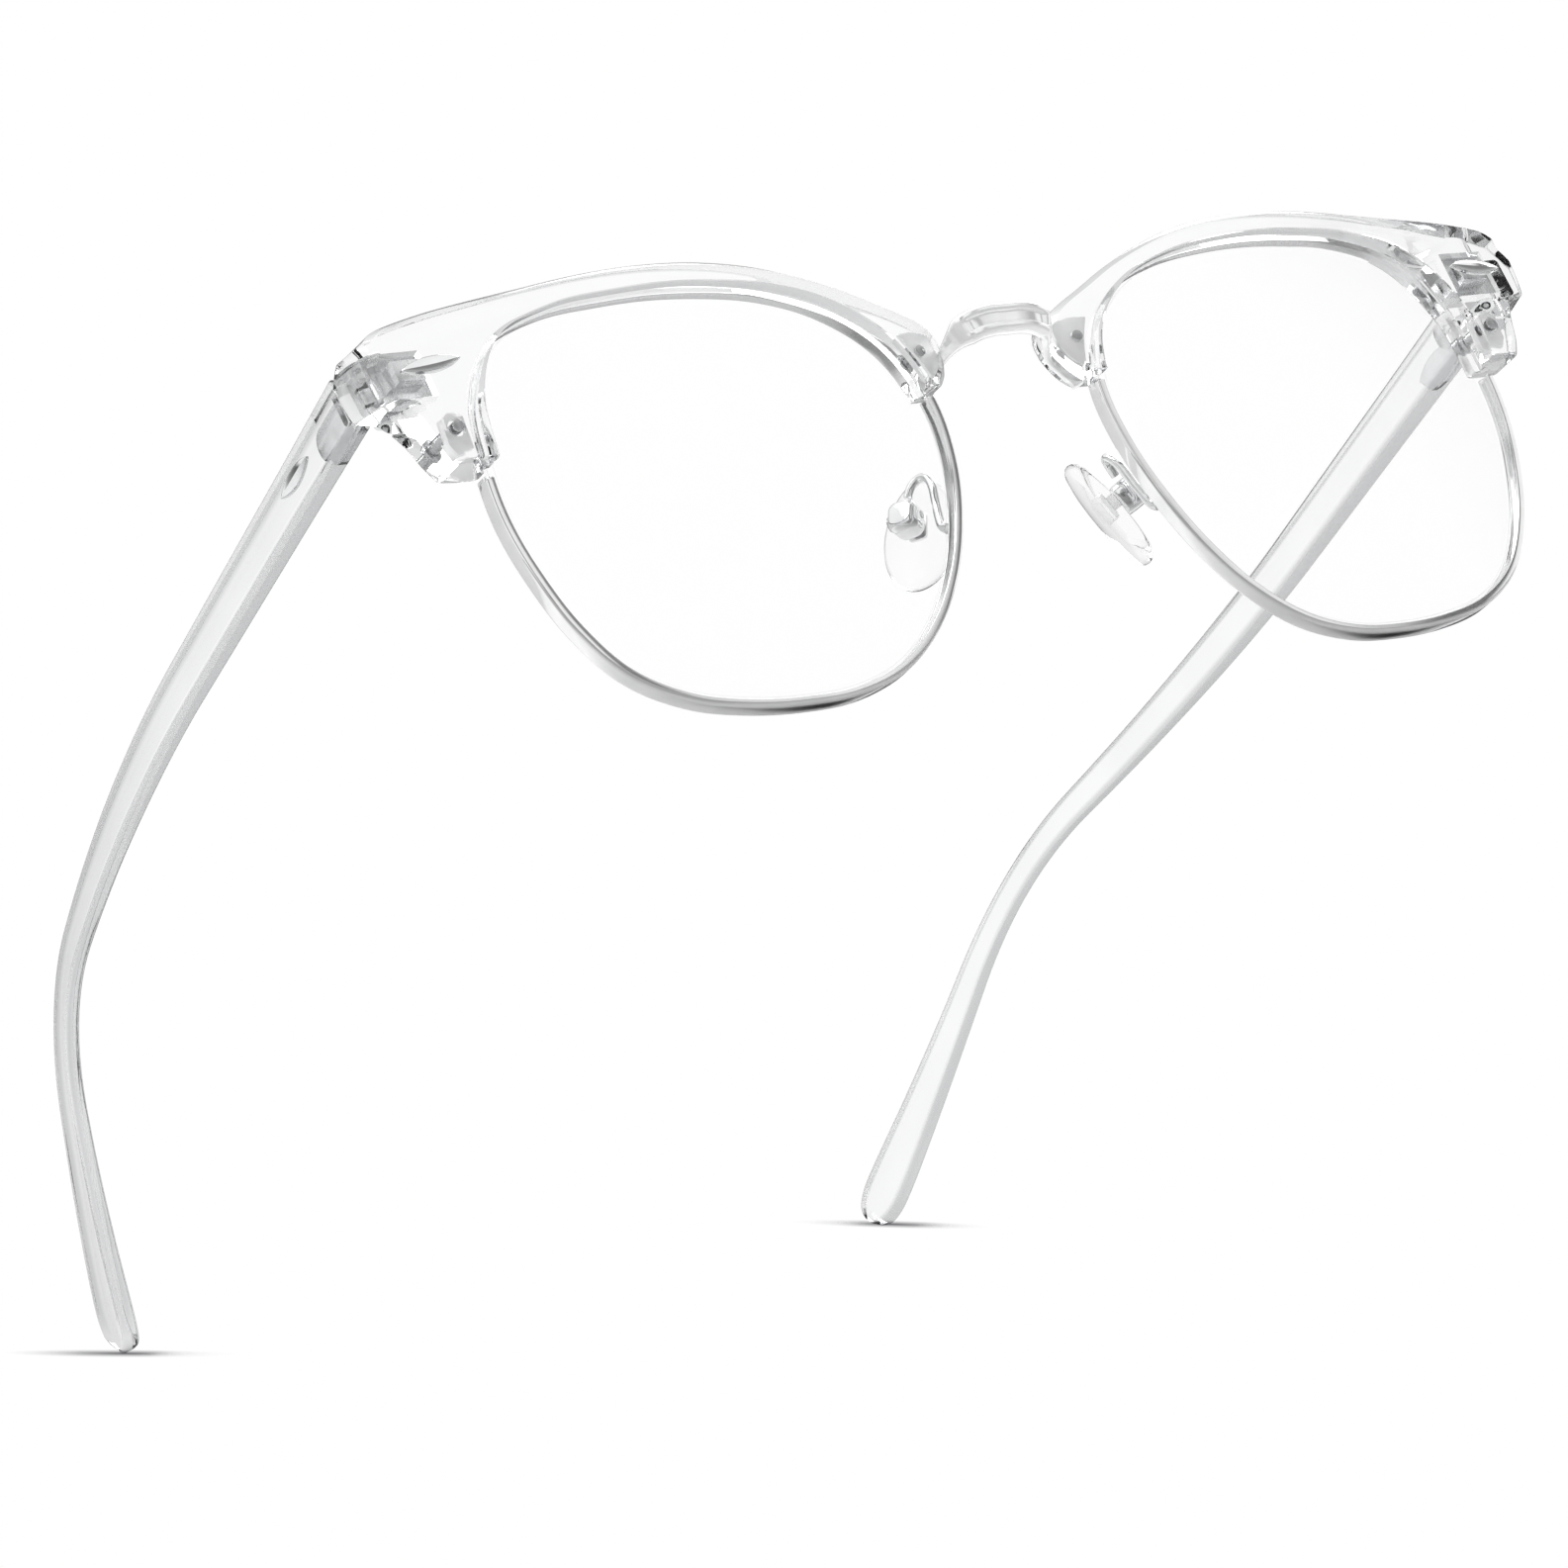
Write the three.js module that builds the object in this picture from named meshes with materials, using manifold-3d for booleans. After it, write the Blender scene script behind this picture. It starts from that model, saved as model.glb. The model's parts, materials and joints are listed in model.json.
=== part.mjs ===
// Half rim (browline) eyeglasses in clear plastic and polished metal.
// Millimetres, +Z up. The front faces -Y, the temples run back along +Y, and the glasses stand open on a flat
// surface at z = 0 on the bottoms of the two rims and the two temple tips. "left" and "right" are the wearer's:
// left is +X. Everything is laid out for the left side in the plane of the lenses, then mirrored for the right.
import * as THREE from "three";
import { mergeVertices } from "three/addons/utils/BufferGeometryUtils.js";
import Module from "manifold-3d";

const wasm = await Module();
wasm.setup();

// ---------------------------------------------------------------- driving dimensions
const LENS_CX = 36.0; // lens centre from the midline
const WRAP = 0.0646; // tangent of the face-form angle
const BASE_R = 128; // radius of the front curve the lenses and the brow follow
const LENS_T = 1.6; // lens thickness
const BEVEL = 0.55; // height of the bevel round the lens
// Distance of the bevel's peak from the lens centre, every 15 degrees from straight out towards the temple,
// going over the top.
const LENS_OUTLINE = [
  24.2, 25.0, 26.5, 26.8, 24.8, 22.8, 22.1, 22.4, 23.8, 25.7, 27.0, 26.5,
  25.2, 24.1, 23.6, 23.5, 23.4, 22.9, 22.4, 22.6, 23.4, 24.0, 23.8, 23.7,
];
const LIP = 0.25; // how far rim and brow reach over the bevel
const GROOVE = 0.28; // clearance beyond the bevel's peak
const RIM_OUT = 0.68; // outside of the rim wire beyond the peak
const RIM_HALF = 0.9; // half the rim wire's depth
const RIM_FROM = 164.2, RIM_TO = 371.2; // the half rim, in outline degrees
const BROW_FRONT = 1.9, BROW_REAR = 2.1; // brow faces in front of and behind the lens surface
const BROW_CHAMFER = 0.8;
const END_DRAFT = 1.5; // the end piece is this much shorter at its front face
const FLAT_FROM = 14; // past this the brow stops following the lens curve
const END_SLOPE = 0.1;
const REST_TILT = 3.18; // degrees the front leans so that rims and tips stand level
const HINGE = [65.9, 8.9, 16.4]; // middle of the left hinge axis
const TEMPLE_DROP = 10.2; // pantoscopic angle, degrees
const KNUCKLE_R = 1.25, BORE_R = 0.8, PIN_R = 0.45;
const TEMPLE_LEN = 143, TEMPLE_X = 2.7, BEND_AT = 89.6, BEND_R = 43.8, BEND_ANGLE = 0.562;
const CURVE_IN = 20; // how far the tip curves in towards the head
const TEMPLE_H = [[0, 5.3], [15, 4.9], [35, 4.6], [60, 4.2], [78, 3.7], [95, 3.2], [105, 3.2], [118, 3.9],
  [130, 5.0], [137, 5.7], [143, 5.7]];
const TEMPLE_T = [[0, 3.2], [15, 3.1], [40, 2.8], [65, 2.4], [85, 2.0], [100, 1.8], [115, 1.9], [130, 2.2],
  [143, 2.4]];
// Brow outline: outer edge point (x, z) and the outline angle of the inner edge point that faces it.
const BROW_EDGE = [
  [64.1, 6.0, 13.5], [65.3, 8.0, 17], [66.3, 10.6, 21.3], [67.6, 12.7, 25.5], [68.6, 13.2, 27], [69.8, 13.4, 28.4],
  [70.3, 13.8, 29.5], [70.7, 17.0, 35.5], [70.5, 18.0, 36.6], [69.3, 20.0, 39.2], [68.6, 20.6, 40.2], [66.0, 21.6, 43],
  [60.6, 22.7, 47], [53.3, 23.6, 55], [47.9, 24.15, 65], [42.5, 24.5, 76], [37, 24.55, 88], [31.7, 24.2, 100],
  [26.3, 23.3, 111], [21.4, 21.8, 121], [16.1, 19.6, 132], [12.2, 17.6, 140.5], [9.2, 16.1, 146.5],
  [7.6, 15.0, 150], [6.8, 13.6, 153], [6.8, 11.6, 156], [7.5, 9.6, 159], [8.2, 8.6, 161.2], [8.9, 8.0, 162.8],
];
const PAD_BOX = [13.25, 6.8, -2.4];
const PAD_LONG = [0.398, -0.04, -0.916]; // down the nose pad
const PAD_FACE = [-0.8, 0.5, -0.33]; // towards the nose
const PAD_L = 12.6, PAD_W = 8.0, PAD_T = 2.1;

// ---------------------------------------------------------------- helpers
const rad = (d) => (d * Math.PI) / 180;
const V = (x, y, z) => new THREE.Vector3(x, y, z);
const clamp = (x, a, b) => Math.min(b, Math.max(a, x));
const smooth = (a, b, x) => {
  const t = clamp((x - a) / (b - a), 0, 1);
  return t * t * (3 - 2 * t);
};

function table(rows, s) {
  let i = 0;
  while (i < rows.length - 2 && s > rows[i + 1][0]) i++;
  const g = (k) => rows[clamp(k, 0, rows.length - 1)];
  const [a, b, c, d] = [g(i - 1), g(i), g(i + 1), g(i + 2)];
  const t = clamp((s - b[0]) / (c[0] - b[0]), 0, 1), h = c[0] - b[0];
  const m0 = ((c[1] - a[1]) / (c[0] - a[0] || 1)) * h, m1 = ((d[1] - b[1]) / (d[0] - b[0] || 1)) * h;
  const t2 = t * t, t3 = t2 * t;
  return (2 * t3 - 3 * t2 + 1) * b[1] + (t3 - 2 * t2 + t) * m0 + (3 * t2 - 2 * t3) * c[1] + (t3 - t2) * m1;
}

function volume(geo) {
  const p = geo.attributes.position, ix = geo.index;
  const a = V(), b = V(), c = V();
  let v = 0;
  for (let i = 0; i < ix.count; i += 3) {
    a.fromBufferAttribute(p, ix.getX(i));
    b.fromBufferAttribute(p, ix.getX(i + 1));
    c.fromBufferAttribute(p, ix.getX(i + 2));
    v += a.dot(b.cross(c)) / 6;
  }
  return v;
}

function closed(geo) {
  geo = geo.clone();
  geo.deleteAttribute("normal");
  geo.deleteAttribute("uv");
  geo = mergeVertices(geo, 1e-4);
  const keep = [], ix = geo.index.array;
  for (let i = 0; i < ix.length; i += 3) {
    const [a, b, c] = [ix[i], ix[i + 1], ix[i + 2]];
    if (a !== b && b !== c && c !== a) keep.push(a, b, c);
  }
  geo.setIndex(keep);
  if (volume(geo) < 0) {
    for (let i = 0; i < keep.length; i += 3) [keep[i], keep[i + 1]] = [keep[i + 1], keep[i]];
    geo.setIndex(keep);
  }
  return geo;
}

function solid(geo) {
  const g = closed(geo);
  return new wasm.Manifold(new wasm.Mesh({
    numProp: 3,
    vertProperties: new Float32Array(g.attributes.position.array),
    triVerts: new Uint32Array(g.index.array),
  }));
}

function geometry(manifold) {
  const m = manifold.getMesh();
  const pos = new Float32Array((m.vertProperties.length / m.numProp) * 3);
  for (let i = 0; i < pos.length / 3; i++)
    for (let k = 0; k < 3; k++) pos[3 * i + k] = m.vertProperties[i * m.numProp + k];
  const geo = new THREE.BufferGeometry();
  geo.setAttribute("position", new THREE.BufferAttribute(pos, 3));
  geo.setIndex(Array.from(m.triVerts));
  return geo;
}

const cut = (body, ...tools) => geometry(tools.reduce((b, t) => b.subtract(solid(t)), solid(body)));
const join = (body, ...tools) => geometry(tools.reduce((b, t) => b.add(solid(t)), solid(body)));

// A closed section carried through N steps, every vertex placed by place(index in section, step).
function loft(section, steps, place) {
  const shape = new THREE.Shape(section.map(([x, y]) => new THREE.Vector2(x, y)));
  const geo = new THREE.ExtrudeGeometry(shape, { depth: steps, steps, bevelEnabled: false });
  const p = geo.attributes.position;
  for (let i = 0; i < p.count; i++) {
    const x = p.getX(i), y = p.getY(i), s = Math.round(p.getZ(i));
    let best = 0, d = 1e9;
    section.forEach(([a, b], j) => {
      const e = (a - x) ** 2 + (b - y) ** 2;
      if (e < d) [best, d] = [j, e];
    });
    const q = place(best, s);
    p.setXYZ(i, q.x, q.y, q.z);
  }
  return closed(geo);
}

function box(x0, x1, y0, y1, z0, z1) {
  return new THREE.BoxGeometry(x1 - x0, y1 - y0, z1 - z0).translate((x0 + x1) / 2, (y0 + y1) / 2, (z0 + z1) / 2);
}

// Rod along local Z between z0 and z1.
function rod(r, z0, z1, sides = 20) {
  return new THREE.CylinderGeometry(r, r, z1 - z0, sides).rotateX(Math.PI / 2).translate(0, 0, (z0 + z1) / 2);
}

// Prism of an outline given in (x, z), between y0 and y1.
function prism(points, y0, y1) {
  const shape = new THREE.Shape(points.map(([x, z]) => new THREE.Vector2(x, z)));
  return new THREE.ExtrudeGeometry(shape, { depth: y1 - y0, bevelEnabled: false }).rotateX(Math.PI / 2)
    .translate(0, y1, 0);
}

// Matrix whose columns are the given axes at the given origin.
function basis(x, y, z, origin) {
  return new THREE.Matrix4().makeBasis(x, y, z).setPosition(origin);
}

// ---------------------------------------------------------------- lens surface and outline
function outline(deg) {
  const t = ((deg % 360) + 360) % 360 / 15, i = Math.floor(t), f = t - i;
  const g = (k) => LENS_OUTLINE[(k + 24) % 24];
  const [a, b, c, d] = [g(i - 1), g(i), g(i + 1), g(i + 2)];
  return b + 0.5 * f * (c - a + f * (2 * a - 5 * b + 4 * c - d + f * (3 * (b - c) + d - a)));
}

function lensY(x, z) {
  const u = x - LENS_CX;
  return WRAP * u + (u * u + z * z) / (2 * BASE_R);
}

function onLens(deg, beyond, depth) {
  const r = outline(deg) + beyond, x = LENS_CX + r * Math.cos(rad(deg)), z = r * Math.sin(rad(deg));
  return V(x, lensY(x, z) + depth, z);
}

function browFront(x, z) {
  const u = x - LENS_CX, over = Math.max(0, u - FLAT_FROM);
  return lensY(x - over, z) + END_SLOPE * over - BROW_FRONT;
}

function browRear(x, z) {
  const end = 8.0 + 0.18 * (z - HINGE[2]);
  const t = smooth(23, 29.5, x - LENS_CX) * smooth(8, 12.5, z);
  const near = lensY(Math.min(x, 61.5), z) + BROW_REAR;
  return near + (end - near) * t;
}

// Frame on the lens surface at (x, z): local x along the front, local y to the rear, local z up.
function surfaceFrame(x, z, lift, roll = 0) {
  const y = lensY(x, z) + lift;
  const u = V(1, lensY(x + 0.5, z) - lensY(x - 0.5, z), 0).normalize();
  const w0 = V(0, lensY(x, z + 0.5) - lensY(x, z - 0.5), 1).normalize();
  const n = w0.clone().cross(u).normalize();
  const w = u.clone().cross(n).normalize();
  return basis(u, n, w, V(x, y, z)).multiply(new THREE.Matrix4().makeRotationY(rad(roll)));
}

// ---------------------------------------------------------------- front pieces
const SLOT = [[-LIP, -0.62], [GROOVE, -0.3], [GROOVE, 0.3], [-LIP, 0.62]];

function lens() {
  const h = LENS_T / 2, e = 1 - BEVEL / 24, profile = [[0, -h], [0.4, -h], [0.75, -h], [e, -h],
    [e, -0.45], [1, -0.12], [1, 0.12], [e, 0.45], [e, h], [0.75, h], [0.4, h], [0, h]];
  const geo = new THREE.LatheGeometry(profile.map(([x, y]) => new THREE.Vector2(x, y)), 52);
  const p = geo.attributes.position;
  for (let i = 0; i < p.count; i++) {
    const x = p.getX(i), z = p.getZ(i), r = Math.hypot(x, z);
    const k = r * outline((Math.atan2(z, x) * 180) / Math.PI) / (r || 1);
    const px = LENS_CX + k * x, pz = k * z;
    p.setXYZ(i, px, lensY(px, pz) + p.getY(i), pz);
  }
  return closed(geo);
}

function rim() {
  const a = RIM_HALF, section = [[-LIP, 0.62], [-LIP, a], [RIM_OUT - 0.25, a], [RIM_OUT, a - 0.25],
    [RIM_OUT, 0.25 - a], [RIM_OUT - 0.25, -a], [-LIP, -a], [-LIP, -0.62], [GROOVE, -0.3], [GROOVE, 0.3]];
  const steps = 40;
  return loft(section, steps, (j, i) => onLens(RIM_FROM + ((RIM_TO - RIM_FROM) * i) / steps, ...section[j]));
}

function browSections() {
  const rows = BROW_EDGE, out = [];
  const at = (k) => rows[clamp(k, 0, rows.length - 1)];
  for (let i = 0; i < rows.length - 1; i++) {
    const parts = i >= 11 && i <= 19 ? 2 : 1;
    for (let n = 0; n < parts; n++) {
      const f = n / parts;
      out.push([0, 1, 2].map((c) => {
        const [a, b, d, e] = [at(i - 1)[c], at(i)[c], at(i + 1)[c], at(i + 2)[c]];
        return b + 0.5 * f * (d - a + f * (2 * a - 5 * b + 4 * d - e + f * (3 * (b - d) + e - a)));
      }));
    }
  }
  out.push(rows[rows.length - 1]);
  return out;
}

function browBlank() {
  const rows = browSections();
  // nominal section: across from the inner edge (0) to the outer edge (10), depth -2 to 2
  const section = [[0.3, -2], [5, -2], [9, -2], [10, -1.2], [10, 1.7], [9.7, 2], [5, 2], [0.3, 2], [0, 1.7],
    [0, 0.62], [0.53, 0.3], [0.53, -0.3], [0, -0.62], [0, -1.7]];
  return loft(section, rows.length - 1, (j, i) => {
    const [ox, oz, deg] = rows[i];
    const inner = onLens(deg, -LIP, 0), outer = V(ox, 0, oz);
    inner.y = 0;
    const width = inner.distanceTo(outer), across = outer.clone().sub(inner).divideScalar(width);
    const small = Math.min(0.3, width * 0.12), big = Math.min(BROW_CHAMFER, width * 0.3);
    const draft = END_DRAFT * smooth(63, 69.5, ox) * smooth(21.5, 19, oz);
    const d = [small, width / 2, width - big - draft, width - draft, width, width - small, width / 2, small, 0, 0,
      LIP + GROOVE, LIP + GROOVE, 0, 0][j];
    const p = inner.clone().addScaledVector(across, d);
    const f = browFront(p.x, p.z), r = browRear(p.x, p.z), m = lensY(p.x, p.z);
    const y = [f, f, f, f + big, r - small, r, r, r, r - small, m + 0.62, m + 0.3, m - 0.3, m - 0.62, f + small][j];
    return V(p.x, y, p.z);
  });
}

// Almond-shaped trim with a ridge along it: length along local x, height along local -y, width along local z.
function almond(length, width, base, rise) {
  const steps = 12, section = [[-1, 0], [1, 0], [1, 1], [0, 2], [-1, 1]];
  return loft(section, steps, (j, i) => {
    const t = (2 * i) / steps - 1, w = Math.max(0.1, (width / 2) * (1 - t * t) ** 0.8);
    const x = t * (length / 2), up = rise * Math.max(0.12, 1 - t * t);
    return [V(x, base, -w), V(x, base, w), V(x, 0, w), V(x, -up, 0), V(x, 0, -w)][j];
  });
}

// Seat for that trim: its outline grown by the clearance, cut to the given depth.
function almondSeat(length, width, depth, clear = 0.3) {
  const at = (i) => {
    const t = (2 * i) / 12 - 1;
    return [t * (length / 2 + clear), Math.max(0.1, (width / 2) * (1 - t * t) ** 0.8) + clear];
  };
  const top = Array.from({ length: 13 }, (_, i) => at(i));
  return prism([...top.map(([x, w]) => [x, -w]), ...top.reverse()], -3, depth);
}

function screw(shankR, shankFrom, headFrom, headR, headTop) {
  const body = join(rod(shankR, shankFrom, headFrom + 0.1, 14), rod(headR, headFrom, headTop, 18));
  return cut(body, box(-headR - 1, headR + 1, -0.12, 0.12, headTop - 0.22, headTop + 1));
}

// local Z to the rear (+y), local x kept
const TO_REAR = new THREE.Matrix4().makeBasis(V(1, 0, 0), V(0, 0, -1), V(0, 1, 0));

const TAB_AT = [62.4, 9.9], TAB_Y = 3.5;
const TAB = [[61.35, 7.6], [62.9, 7.3], [63.5, 8.4], [63.5, 11.0], [62.9, 11.5], [61.9, 11.5], [61.35, 11.0]];
const TAB_POCKET = [[61.0, 7.3], [63.0, 6.9], [63.85, 8.3], [63.85, 11.1], [63.05, 11.85], [61.75, 11.85],
  [61.0, 11.15]];
const tabPlate = () => cut(prism(TAB, TAB_Y - 0.4, TAB_Y + 0.4),
  rod(0.95, -3, 3).applyMatrix4(TO_REAR).translate(TAB_AT[0], TAB_Y, TAB_AT[1]));
const tabRear = browRear(...TAB_AT);
const tabScrew = () => screw(0.62, 2.5 - TAB_Y, tabRear - TAB_Y - 0.35, 1.05, tabRear - TAB_Y + 0.25)
  .applyMatrix4(TO_REAR).translate(TAB_AT[0], TAB_Y, TAB_AT[1]);

const PLATE_AT = [9.7, 12.1];
const PLATE = [[-1.9, 2.25], [-2.35, 1.8], [-2.45, 1.2], [-2.45, -0.3], [-1.8, -2.1], [-1.1, -3.0], [-0.4, -3.6],
  [-0.15, -3.4], [0.4, -1.6], [1.0, 0], [1.95, 1.9], [2.15, 2.35], [0, 2.65]];
// behind the brow's nose end only a thin front wall is left, so that the block and the bridge leg fit in
const PLATE_POCKET = [[-6, 2.3], [-6, -6], [-0.4, -6], [0.2, -3.6], [0.75, -1.6], [1.35, 0], [2.3, 1.9], [2.6, 2.7],
  [0, 3.0], [-2.3, 2.65]];
const plateFrame = surfaceFrame(...PLATE_AT, 0);
const nasalPlate = () => cut(prism(PLATE, -0.75, 0.15),
  rod(0.92, -3, 5, 16).applyMatrix4(TO_REAR)).applyMatrix4(plateFrame);
const plateScrew = () => screw(0.6, -1.1, 0.45, 1.15, 1.0).applyMatrix4(TO_REAR).applyMatrix4(plateFrame);

const SHIELD_AT = [63.2, 16.5];
function shieldFrame() {
  const [x, z] = SHIELD_AT, f = browFront;
  const u = V(1, f(x + 0.5, z) - f(x - 0.5, z), -0.09).normalize();
  const w0 = V(0, f(x, z + 0.5) - f(x, z - 0.5), 1).normalize();
  const n = w0.cross(u).normalize();
  return basis(u, n, u.clone().cross(n), V(x, f(x, z), z));
}

function hingeFrame() {
  const t = rad(TEMPLE_DROP);
  return basis(V(1, 0, 0), V(0, Math.cos(t), -Math.sin(t)), V(0, Math.sin(t), Math.cos(t)), V(...HINGE));
}
const HF = hingeFrame();

function brow() {
  const bores = [
    prism(TAB_POCKET, TAB_Y - 0.75, TAB_Y + 0.75),
    rod(0.95, 2.1 - TAB_Y, 6, 16).applyMatrix4(TO_REAR).translate(TAB_AT[0], TAB_Y, TAB_AT[1]),
    rod(1.4, tabRear - TAB_Y - 0.7, 6, 18).applyMatrix4(TO_REAR).translate(TAB_AT[0], TAB_Y, TAB_AT[1]),
    prism(PLATE_POCKET, -1.05, 6).applyMatrix4(plateFrame),
    rod(0.9, -1.4, 6, 16).applyMatrix4(TO_REAR).applyMatrix4(plateFrame),
    almondSeat(6.5, 1.75, 0.75).applyMatrix4(shieldFrame()),
    box(-4.25, 1.25, -2.7, 3, -2.65, 2.65).applyMatrix4(HF),
    box(-3.5, 0.1, -4.1, 0, -1.5, 1.5).applyMatrix4(HF),
    rod(1.62, -5, 6).applyMatrix4(HF),
  ];
  return cut(browBlank(), ...bores);
}
const browShield = () => almond(6.5, 1.75, 0.4, 0.5).applyMatrix4(shieldFrame());

// ---------------------------------------------------------------- bridge
function bridge() {
  const half = [[0, -1.9, 13.7], [1.6, -1.9, 13.7], [3.2, -1.7, 13.55], [4.5, -1.25, 13.25], [5.2, -0.6, 12.9],
    [5.7, 0.3, 12.5], [6.2, 1.4, 12.0], [6.8, 2.4, 11.4], [7.4, 2.8, 10.7], [8.0, 2.8, 9.9], [8.5, 2.7, 9.1],
    [8.85, 2.5, 8.4], [9.0, 2.3, 7.7]];
  const points = [...half.slice(1).reverse().map(([x, y, z]) => V(-x, y, z)), ...half.map((p) => V(...p))];
  const curve = new THREE.CatmullRomCurve3(points, false, "centripetal"), steps = 36;
  const section = [[-1.6, -0.35], [-1.25, -0.9], [-0.75, -0.9], [-0.55, -0.5], [0.55, -0.5], [0.75, -0.9],
    [1.25, -0.9], [1.6, -0.35], [1.6, 0.5], [1.15, 0.9], [-1.15, 0.9], [-1.6, 0.5]];
  return loft(section, steps, (j, i) => {
    const t = i / steps, c = curve.getPointAt(t), dir = curve.getTangentAt(t);
    const out = V(Math.sign(c.x) * 0.35 * smooth(1, 6, Math.abs(c.x)), 0, 1);
    const side = out.sub(dir.clone().multiplyScalar(out.dot(dir))).normalize();
    const back = side.clone().cross(dir).normalize();
    if (back.y < 0 && Math.abs(c.x) < 4) back.negate();
    const flat = smooth(4.0, 4.8, Math.abs(c.x)), slim = 1 - 0.58 * smooth(4.6, 6.3, Math.abs(c.x));
    let [a, b] = section[j];
    if (j === 3 || j === 4) b -= 0.4 * flat;
    return c.clone().addScaledVector(side, a * slim).addScaledVector(back, b * slim);
  });
}

// ---------------------------------------------------------------- nose pad and its mounting
const padL = V(...PAD_LONG).normalize();
const padN = V(...PAD_FACE).addScaledVector(padL, -V(...PAD_FACE).dot(padL)).normalize();
const padW = padN.clone().cross(padL).normalize(); // local x = across, y = down the pad, z = towards the nose
const PF = basis(padL.clone().cross(padN).normalize(), padL, padN, V(...PAD_BOX));
const PAD_PIVOT = 0.35; // pivot height in the pad frame
const PAD_DROP = 0.6; // the pad hangs this far below the middle of its box

function padArm() {
  const path = new THREE.CatmullRomCurve3([V(12.75, 1.98, -6.2), V(12.6, 2.9, -5.4), V(12.0, 3.4, -3.2),
    V(11.4, 3.7, -0.9), V(11.1, 4.4, 0.4), V(11.3, 5.3, 0.85), V(11.9, 6.0, 0.5), V(12.35, 6.3, -0.15),
    V(12.6, 6.4, -0.65)]);
  const ring = new THREE.Shape();
  ring.absarc(0, 0, 0.45, 0, Math.PI * 2);
  return closed(new THREE.ExtrudeGeometry(ring, { steps: 18, curveSegments: 4, extrudePath: path,
    bevelEnabled: false }));
}

function padBoxPiece() {
  return cut(box(-1.35, 1.35, -1.5, 1.5, -1.1, 1.2), box(-0.82, 0.82, -3, 3, -0.55, 3),
    rod(0.75, -3, 3, 16).rotateY(Math.PI / 2).translate(0, 0, PAD_PIVOT)).applyMatrix4(PF);
}
const padScrew = () => screw(0.42, -1.5, 1.65, 0.78, 2.05).rotateY(Math.PI / 2).translate(0, 0, PAD_PIVOT)
  .applyMatrix4(PF);
const padInsert = () => cut(join(box(-1.2, 1.2, -2.2, 2.2, 2.0, 2.5),
  box(-0.5, 0.5, -0.8, 0.8, PAD_PIVOT, 2.3), rod(0.8, -0.5, 0.5, 16).rotateY(Math.PI / 2).translate(0, 0, PAD_PIVOT)),
rod(0.73, -3, 3, 16).rotateY(Math.PI / 2).translate(0, 0, PAD_PIVOT)).applyMatrix4(PF);

function nosePad() {
  const profile = [[0, 0], [0.5, 0], [0.86, 0], [0.97, 0.25], [1, 0.5], [0.97, 0.75], [0.86, 0.95], [0.6, 1.02],
    [0.3, 1.08], [0, 1.1]];
  const geo = new THREE.LatheGeometry(profile.map(([x, y]) => new THREE.Vector2(x, y)), 28);
  const p = geo.attributes.position;
  for (let i = 0; i < p.count; i++) {
    const x = p.getX(i), z = p.getZ(i), y = p.getY(i);
    const egg = 1 + 0.1 * z;
    p.setXYZ(i, (x * PAD_W * egg) / 2, (z * PAD_L) / 2 + PAD_DROP, 1.7 + (y * PAD_T) / 1.1);
  }
  return cut(closed(geo), box(-1.5, 1.5, -2.5, 2.5, 1, 2.8)).applyMatrix4(PF);
}

// ---------------------------------------------------------------- hinge and temple, in the hinge frame
const frontLeaf = () => {
  const knuckle = (a, b) => [rod(KNUCKLE_R, a, b), box(-1.0, 0.95, -1.9, 0, a, b)];
  return cut(join(box(-3.9, 0.95, -2.35, -1.6, -2.3, 2.3), box(-3.2, -0.2, -3.75, -2.0, -1.2, 1.2),
    ...knuckle(-2.6, -1.1), ...knuckle(1.1, 2.6)), rod(BORE_R, -5, 5, 16)).applyMatrix4(HF);
};
const templeLeaf = () => cut(join(rod(KNUCKLE_R, -0.8, 0.8), box(0, 1.9, 0.1, 2.0, -0.8, 0.8),
  box(1.25, 2.0, 0.5, 7.6, -0.8, 0.8), box(1.25, 2.0, 1.95, 7.6, -1.7, 1.7)), rod(BORE_R, -5, 5, 16)).applyMatrix4(HF);
const hingeScrew = () => screw(PIN_R, -2.6, 2.9, 1.0, 3.35).applyMatrix4(HF);

function templePoint(s) {
  const arc = BEND_R * BEND_ANGLE, a = clamp((s - BEND_AT) / BEND_R, 0, BEND_ANGLE);
  const rest = Math.max(0, s - BEND_AT - arc);
  const y = Math.min(s, BEND_AT) + BEND_R * Math.sin(a) + rest * Math.cos(BEND_ANGLE);
  const z = -BEND_R * (1 - Math.cos(a)) - rest * Math.sin(BEND_ANGLE);
  const x = TEMPLE_X - CURVE_IN * Math.max(0, (s - 45) / 98) ** 1.75;
  return V(x, y - 0.55, z);
}

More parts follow.
